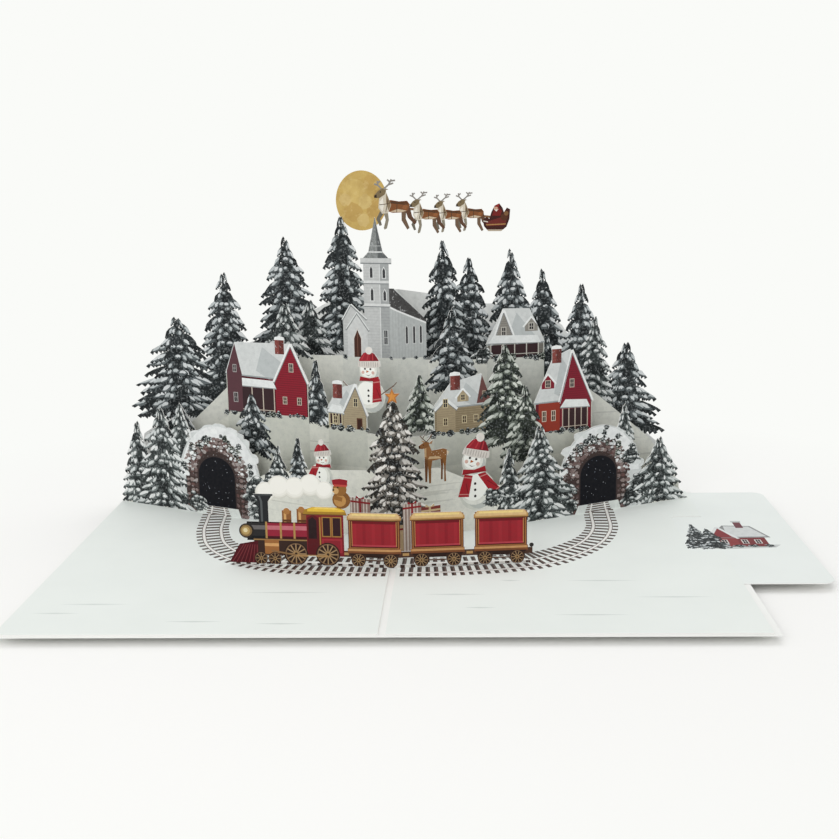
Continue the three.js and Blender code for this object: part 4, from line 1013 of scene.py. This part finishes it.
def pressed(name, drawing, place, thickness, fold_line):
    """Printed card: the drawing on its face, white core on its cut edges and back."""
    bm = bmesh.new()
    ink = bm.loops.layers.float_color.new("ink")
    spots, kept = arranged(drawing.shapes, fold_line)
    used = sorted({i for cell, _ in kept for i in cell})
    corners = {i: bm.verts.new((spots[i].x, 0, spots[i].y)) for i in used}
    printed = []
    for cell, top in kept:
        face = bm.faces.new([corners[i] for i in cell])
        _, colour, kind, _ = drawing.shapes[top]
        face.material_index = kind
        for loop in face.loops:
            loop[ink] = (*colour, 1)
        printed.append(face)
    grown = bmesh.ops.extrude_face_region(bm, geom=printed, use_keep_orig=True)["geom"]
    bmesh.ops.translate(bm, verts=[g for g in grown if isinstance(g, bmesh.types.BMVert)], vec=(0, thickness, 0))
    kept_print = set(printed)
    for face in bm.faces:
        if face not in kept_print:
            face.material_index = KINDS.index("card_core")
            for loop in face.loops:
                loop[ink] = (*tone("f1f1ee"), 1)
    bmesh.ops.recalc_face_normals(bm, faces=bm.faces)
    for vert in bm.verts:
        vert.co = Vector(place(*vert.co)) * MM
    return finish_piece(name, bm)


def finish_piece(name, bm):
    mesh = bpy.data.meshes.new(name)
    bm.to_mesh(mesh)
    bm.free()
    for kind in KINDS:
        mesh.materials.append(FINISHES[kind])
    piece = bpy.data.objects.new(name, mesh)
    bpy.context.collection.objects.link(piece)
    return piece


def folded_place(stand):
    """Where a point of a flat sheet goes once the sheet is folded and stands on the liners."""
    fold_from_back, sweep, _ = stand
    fold_y = HALF_DEPTH - fold_from_back
    c, s = math.cos(sweep), math.sin(sweep)

    def place(x, y, z):
        if abs(x) < 1e-4:
            return (0, fold_y + y / c, BOARD_TOP + z)
        side = 1 if x > 0 else -1
        return (x * c - side * y * s, fold_y + abs(x) * s + y * c, BOARD_TOP + z)

    return place


def flaps(stand, name):
    """The two glue flaps behind a folded sheet's foot."""
    fold_from_back, sweep, (start, end) = stand
    bm = bmesh.new()
    ink = bm.loops.layers.float_color.new("ink")
    for side in (-1, 1):
        made = bmesh.ops.create_cube(bm, size=1.0)["verts"]
        bmesh.ops.scale(bm, verts=made, vec=(end - start, FLAP_DEPTH, SHEET))
        bmesh.ops.translate(bm, verts=made, vec=(side * (start + end) / 2, FLAP_DEPTH / 2, SHEET / 2))
        bmesh.ops.rotate(bm, verts=made, cent=(0, 0, 0), matrix=Matrix.Rotation(side * sweep, 3, "Z"))
        bmesh.ops.translate(bm, verts=made, vec=(0, HALF_DEPTH - fold_from_back, BOARD_TOP))
    bmesh.ops.scale(bm, verts=bm.verts, vec=(MM, MM, MM))
    for face in bm.faces:
        face.material_index = KINDS.index("card_core")
        for loop in face.loops:
            loop[ink] = (*tone("f1f1ee"), 1)
    return finish_piece(name, bm)


# materials

class Wire:
    """A shader value; arithmetic on it adds the Math nodes."""

    def __init__(self, tree, socket):
        self.tree = tree
        self.socket = socket

    def math(self, operation, other, clamp=False):
        node = self.tree.nodes.new("ShaderNodeMath")
        node.operation = operation
        node.use_clamp = clamp
        self.tree.links.new(self.socket, node.inputs[0])
        if isinstance(other, Wire):
            self.tree.links.new(other.socket, node.inputs[1])
        else:
            node.inputs[1].default_value = other
        return Wire(self.tree, node.outputs[0])

    def __add__(self, other):
        return self.math("ADD", other)

    def __sub__(self, other):
        return self.math("SUBTRACT", other)

    def __mul__(self, other):
        return self.math("MULTIPLY", other)

    def ramp(self, low, high):
        """0 below low and 1 above high, straight between."""
        return self.math("SUBTRACT", low).math("DIVIDE", high - low, True)


class Finish:
    """One procedural material under construction."""

    def __init__(self, name, roughness=0.7):
        self.material = bpy.data.materials.new(name)
        self.material.use_nodes = True
        self.tree = self.material.node_tree
        self.shader = self.tree.nodes["Principled BSDF"]
        self.shader.inputs["Roughness"].default_value = roughness
        self.shader.inputs["Specular IOR Level"].default_value = 0.12
        self.spot = self.tree.nodes.new("ShaderNodeTexCoord").outputs["Object"]

    def noise(self, scale, detail=3.0, roughness=0.55):
        node = self.tree.nodes.new("ShaderNodeTexNoise")
        node.inputs["Scale"].default_value = scale
        node.inputs["Detail"].default_value = detail
        node.inputs["Roughness"].default_value = roughness
        self.tree.links.new(self.spot, node.inputs["Vector"])
        return Wire(self.tree, node.outputs["Fac"])

    def cells(self, scale):
        node = self.tree.nodes.new("ShaderNodeTexVoronoi")
        node.feature = "DISTANCE_TO_EDGE"
        node.inputs["Scale"].default_value = scale
        self.tree.links.new(self.spot, node.inputs["Vector"])
        return Wire(self.tree, node.outputs["Distance"])

    def ink(self):
        node = self.tree.nodes.new("ShaderNodeVertexColor")
        node.layer_name = "ink"
        return node.outputs["Color"]

    def mix(self, share, first, second, blend="MIX"):
        node = self.tree.nodes.new("ShaderNodeMix")
        node.data_type = "RGBA"
        node.blend_type = blend
        if isinstance(share, Wire):
            self.tree.links.new(share.socket, node.inputs["Factor"])
        else:
            node.inputs["Factor"].default_value = share
        for value, socket in ((first, node.inputs[6]), (second, node.inputs[7])):
            if isinstance(value, tuple):
                socket.default_value = (*value, 1)
            else:
                self.tree.links.new(value, socket)
        return node.outputs[2]

    def paint(self, colour):
        if isinstance(colour, tuple):
            self.shader.inputs["Base Color"].default_value = (*colour, 1)
        else:
            self.tree.links.new(colour, self.shader.inputs["Base Color"])

    def relief(self, height, distance, strength=0.4):
        node = self.tree.nodes.new("ShaderNodeBump")
        node.inputs["Strength"].default_value = strength
        node.inputs["Distance"].default_value = distance
        self.tree.links.new(height.socket, node.inputs["Height"])
        self.tree.links.new(node.outputs["Normal"], self.shader.inputs["Normal"])

    def grain(self):
        """The faint tooth of uncoated card."""
        self.relief(self.noise(2600, 2), 0.00004, 0.3)


def flat_print():
    finish = Finish("flat_print", 0.6)
    blotch = finish.noise(700, 3).ramp(0.35, 0.7)
    finish.paint(finish.mix(blotch * 0.14, finish.ink(), tone("3a3636")))
    finish.grain()
    return finish.material


def plain_print():
    finish = Finish("plain_print", 0.6)
    cloud = finish.noise(28, 3).ramp(0.35, 0.75)
    finish.paint(finish.mix(cloud * 0.1, finish.ink(), tone("c9d1cd")))
    finish.grain()
    return finish.material


def needle_print():
    finish = Finish("needle_print", 0.65)
    fine = finish.noise(1500, 4, 0.7)
    dark = finish.mix(fine.ramp(0.42, 0.58) * 0.6, finish.ink(), tone("1f2324"))
    frost = finish.noise(950, 4, 0.65).ramp(0.52, 0.64)
    finish.paint(finish.mix(frost * 0.3, dark, tone("b9bfc0")))
    finish.grain()
    return finish.material


def snow_print():
    finish = Finish("snow_print", 0.65)
    soft = finish.noise(420, 3).ramp(0.4, 0.75)
    shaded = finish.mix(soft * 0.22, finish.ink(), tone("8d9494"))
    speck = finish.noise(1700, 2, 0.6).ramp(0.6, 0.72)
    finish.paint(finish.mix(speck * 0.18, shaded, tone("5e6466")))
    finish.grain()
    return finish.material


def stone_print():
    finish = Finish("stone_print", 0.7)
    rough = finish.noise(1300, 4, 0.7)
    gritty = finish.mix(rough.ramp(0.4, 0.65) * 0.5, finish.ink(), tone("2c2523"))
    frost = finish.noise(800, 3, 0.6).ramp(0.6, 0.7)
    finish.paint(finish.mix(frost * 0.5, gritty, tone("d8dada")))
    finish.grain()
    return finish.material


def moon_print():
    finish = Finish("moon_print", 0.6)
    mare = finish.noise(160, 5, 0.6).ramp(0.42, 0.62)
    mottled = finish.mix(mare * 0.45, finish.ink(), tone("a8884c"))
    bright = finish.noise(420, 4, 0.6).ramp(0.55, 0.72)
    finish.paint(finish.mix(bright * 0.4, mottled, tone("dcc68c")))
    finish.grain()
    return finish.material


def card_core():
    finish = Finish("card_core", 0.8)
    fibre = finish.noise(1800, 3).ramp(0.4, 0.7)
    finish.paint(finish.mix(fibre * 0.12, tone("f2f2ef"), tone("cfcfc9")))
    finish.grain()
    return finish.material


def white_board(name, colour, shade):
    finish = Finish(name, 0.55)
    cloud = finish.noise(40, 3).ramp(0.35, 0.75)
    finish.paint(finish.mix(cloud * 0.25, tone(colour), tone(shade)))
    finish.grain()
    return finish.material


FINISHES = {kind: maker() for kind, maker in (
    ("flat_print", flat_print), ("plain_print", plain_print), ("needle_print", needle_print), ("snow_print", snow_print), ("stone_print", stone_print),
    ("card_core", card_core), ("moon_print", moon_print))}


def dress(node, material):
    """Gives a model node its finish."""
    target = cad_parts[node]
    target.data.materials.clear()
    target.data.materials.append(material)


# putting the card together

def folded_scenes():
    makers = {"front_scene": front_drawing, "village_scene": village_drawing, "church_scene": church_drawing,
              "forest_scene": forest_drawing, "christmas_tree": fir_drawing, "train": train_drawing}
    for node, maker in makers.items():
        stand = STANDS[node]
        sheet = pressed(f"printed_{node}", maker(), folded_place(stand), SHEET, True)
        foot = flaps(stand, f"{node}_flaps")
        for piece in (sheet, foot):
            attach(piece, "card")
        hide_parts(node)


def moon_sheet():
    """One flat sheet, parallel to the forest's left wing and glued to its back."""
    fold_from_back, sweep, _ = STANDS["forest_scene"]
    c, s = math.cos(sweep), math.sin(sweep)

    def place(x, y, z):
        return (x * c + (y + SHEET) * s, HALF_DEPTH - fold_from_back - x * s + (y + SHEET) * c, BOARD_TOP + z)

    sheet = pressed("printed_moon_and_sleigh", moon_drawing(), place, SHEET, False)
    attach(sheet, "card")
    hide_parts("moon_and_sleigh")


def lying(top):
    return lambda x, y, z: (x, z, top - y)


def boards():
    left = pressed("printed_left_liner", left_liner_drawing(), lying(BOARD_TOP), 0.7, False)
    right = pressed("printed_right_liner", right_liner_drawing(), lying(BOARD_TOP), 0.3, False)
    note = pressed("printed_note_card", note_drawing(), lying(NOTE_TOP), NOTE_THICKNESS, False)
    for piece, node, body in ((left, "left_liner", "card"), (right, "right_liner", "card"), (note, "note_card", "note")):
        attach(piece, body)
        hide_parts(node)
    dress("cover", white_board("cover_board", "f3f4f1", "e6e8e4"))
    dress("pocket_spacer", white_board("spacer_board", "efefec", "e0e0dc"))


def table():
    """A pale table that fades into the backdrop, and keeps the card's shadow."""
    bm = bmesh.new()
    bmesh.ops.create_grid(bm, x_segments=1, y_segments=1, size=4.0)
    bmesh.ops.translate(bm, verts=bm.verts, vec=(0, 0, TABLE_LEVEL * MM))
    mesh = bpy.data.meshes.new("table")
    bm.to_mesh(mesh)
    bm.free()
    top = bpy.data.objects.new("table", mesh)
    bpy.context.collection.objects.link(top)
    finish = Finish("table_top", 0.9)
    finish.paint(tone("fafaf8"))
    tree = finish.tree
    glow = tree.nodes.new("ShaderNodeEmission")
    glow.inputs["Color"].default_value = (*tone("fafbf8"), 1)
    mixer = tree.nodes.new("ShaderNodeMixShader")
    length = tree.nodes.new("ShaderNodeVectorMath")
    length.operation = "LENGTH"
    tree.links.new(finish.spot, length.inputs[0])
    seen = tree.nodes.new("ShaderNodeLightPath")
    share = Wire(tree, length.outputs["Value"]).ramp(0.17, 0.34) * Wire(tree, seen.outputs["Is Camera Ray"])
    tree.links.new(share.socket, mixer.inputs[0])
    tree.links.new(finish.shader.outputs[0], mixer.inputs[1])
    tree.links.new(glow.outputs[0], mixer.inputs[2])
    tree.links.new(mixer.outputs[0], tree.nodes["Material Output"].inputs["Surface"])
    mesh.materials.append(finish.material)


def backdrop():
    world = bpy.data.worlds.new("studio")
    bpy.context.scene.world = world
    world.use_nodes = True
    tree = world.node_tree
    light = tree.nodes["Background"]
    light.inputs["Color"].default_value = (1, 1, 1, 1)
    light.inputs["Strength"].default_value = 0.72
    seen = tree.nodes.new("ShaderNodeBackground")
    seen.inputs["Color"].default_value = (*tone("fafbf8"), 1)
    path = tree.nodes.new("ShaderNodeLightPath")
    either = Wire(tree, path.outputs["Is Camera Ray"]).math("MAXIMUM", Wire(tree, path.outputs["Is Glossy Ray"]))
    mixer = tree.nodes.new("ShaderNodeMixShader")
    tree.links.new(either.socket, mixer.inputs[0])
    tree.links.new(light.outputs[0], mixer.inputs[1])
    tree.links.new(seen.outputs[0], mixer.inputs[2])
    tree.links.new(mixer.outputs[0], tree.nodes["World Output"].inputs["Surface"])


def lamp(name, place, size, power):
    data = bpy.data.lights.new(name, "AREA")
    data.size = size
    data.energy = power
    data.color = (1.0, 0.995, 0.985)
    lamp_object = bpy.data.objects.new(name, data)
    lamp_object.location = place
    lamp_object.rotation_euler = (Vector((0, 0, 0.04)) - Vector(place)).to_track_quat("-Z", "Y").to_euler()
    bpy.context.collection.objects.link(lamp_object)


def camera():
    data = bpy.data.cameras.new("camera")
    data.sensor_width = 36
    data.lens = 36 * FOCAL_PIXELS / FRAME_PIXELS
    data.clip_start = 0.01
    eye = bpy.data.objects.new("camera", data)
    yaw, pitch = CAMERA_YAW, CAMERA_PITCH
    ahead = Vector((-math.sin(yaw) * math.cos(pitch), math.cos(yaw) * math.cos(pitch), -math.sin(pitch)))
    right = Vector((math.cos(yaw), math.sin(yaw), 0))
    down = ahead.cross(right)
    c, s = math.cos(CAMERA_ROLL), math.sin(CAMERA_ROLL)
    right, down = right * c + down * s, down * c - right * s
    turn = Matrix((right, -down, -ahead)).transposed().to_4x4()
    eye.matrix_world = Matrix.Translation(Vector(CAMERA_PLACE) * MM) @ turn
    bpy.context.collection.objects.link(eye)
    bpy.context.scene.camera = eye


camera()
backdrop()
lamp("overhead", (0.1, 0.35, 1.1), 0.9, 2.6)
lamp("front_fill", (-0.5, -1.0, 0.7), 0.8, 4.4)
table()
boards()
folded_scenes()
moon_sheet()

bpy.context.scene.view_settings.view_transform = "Standard"
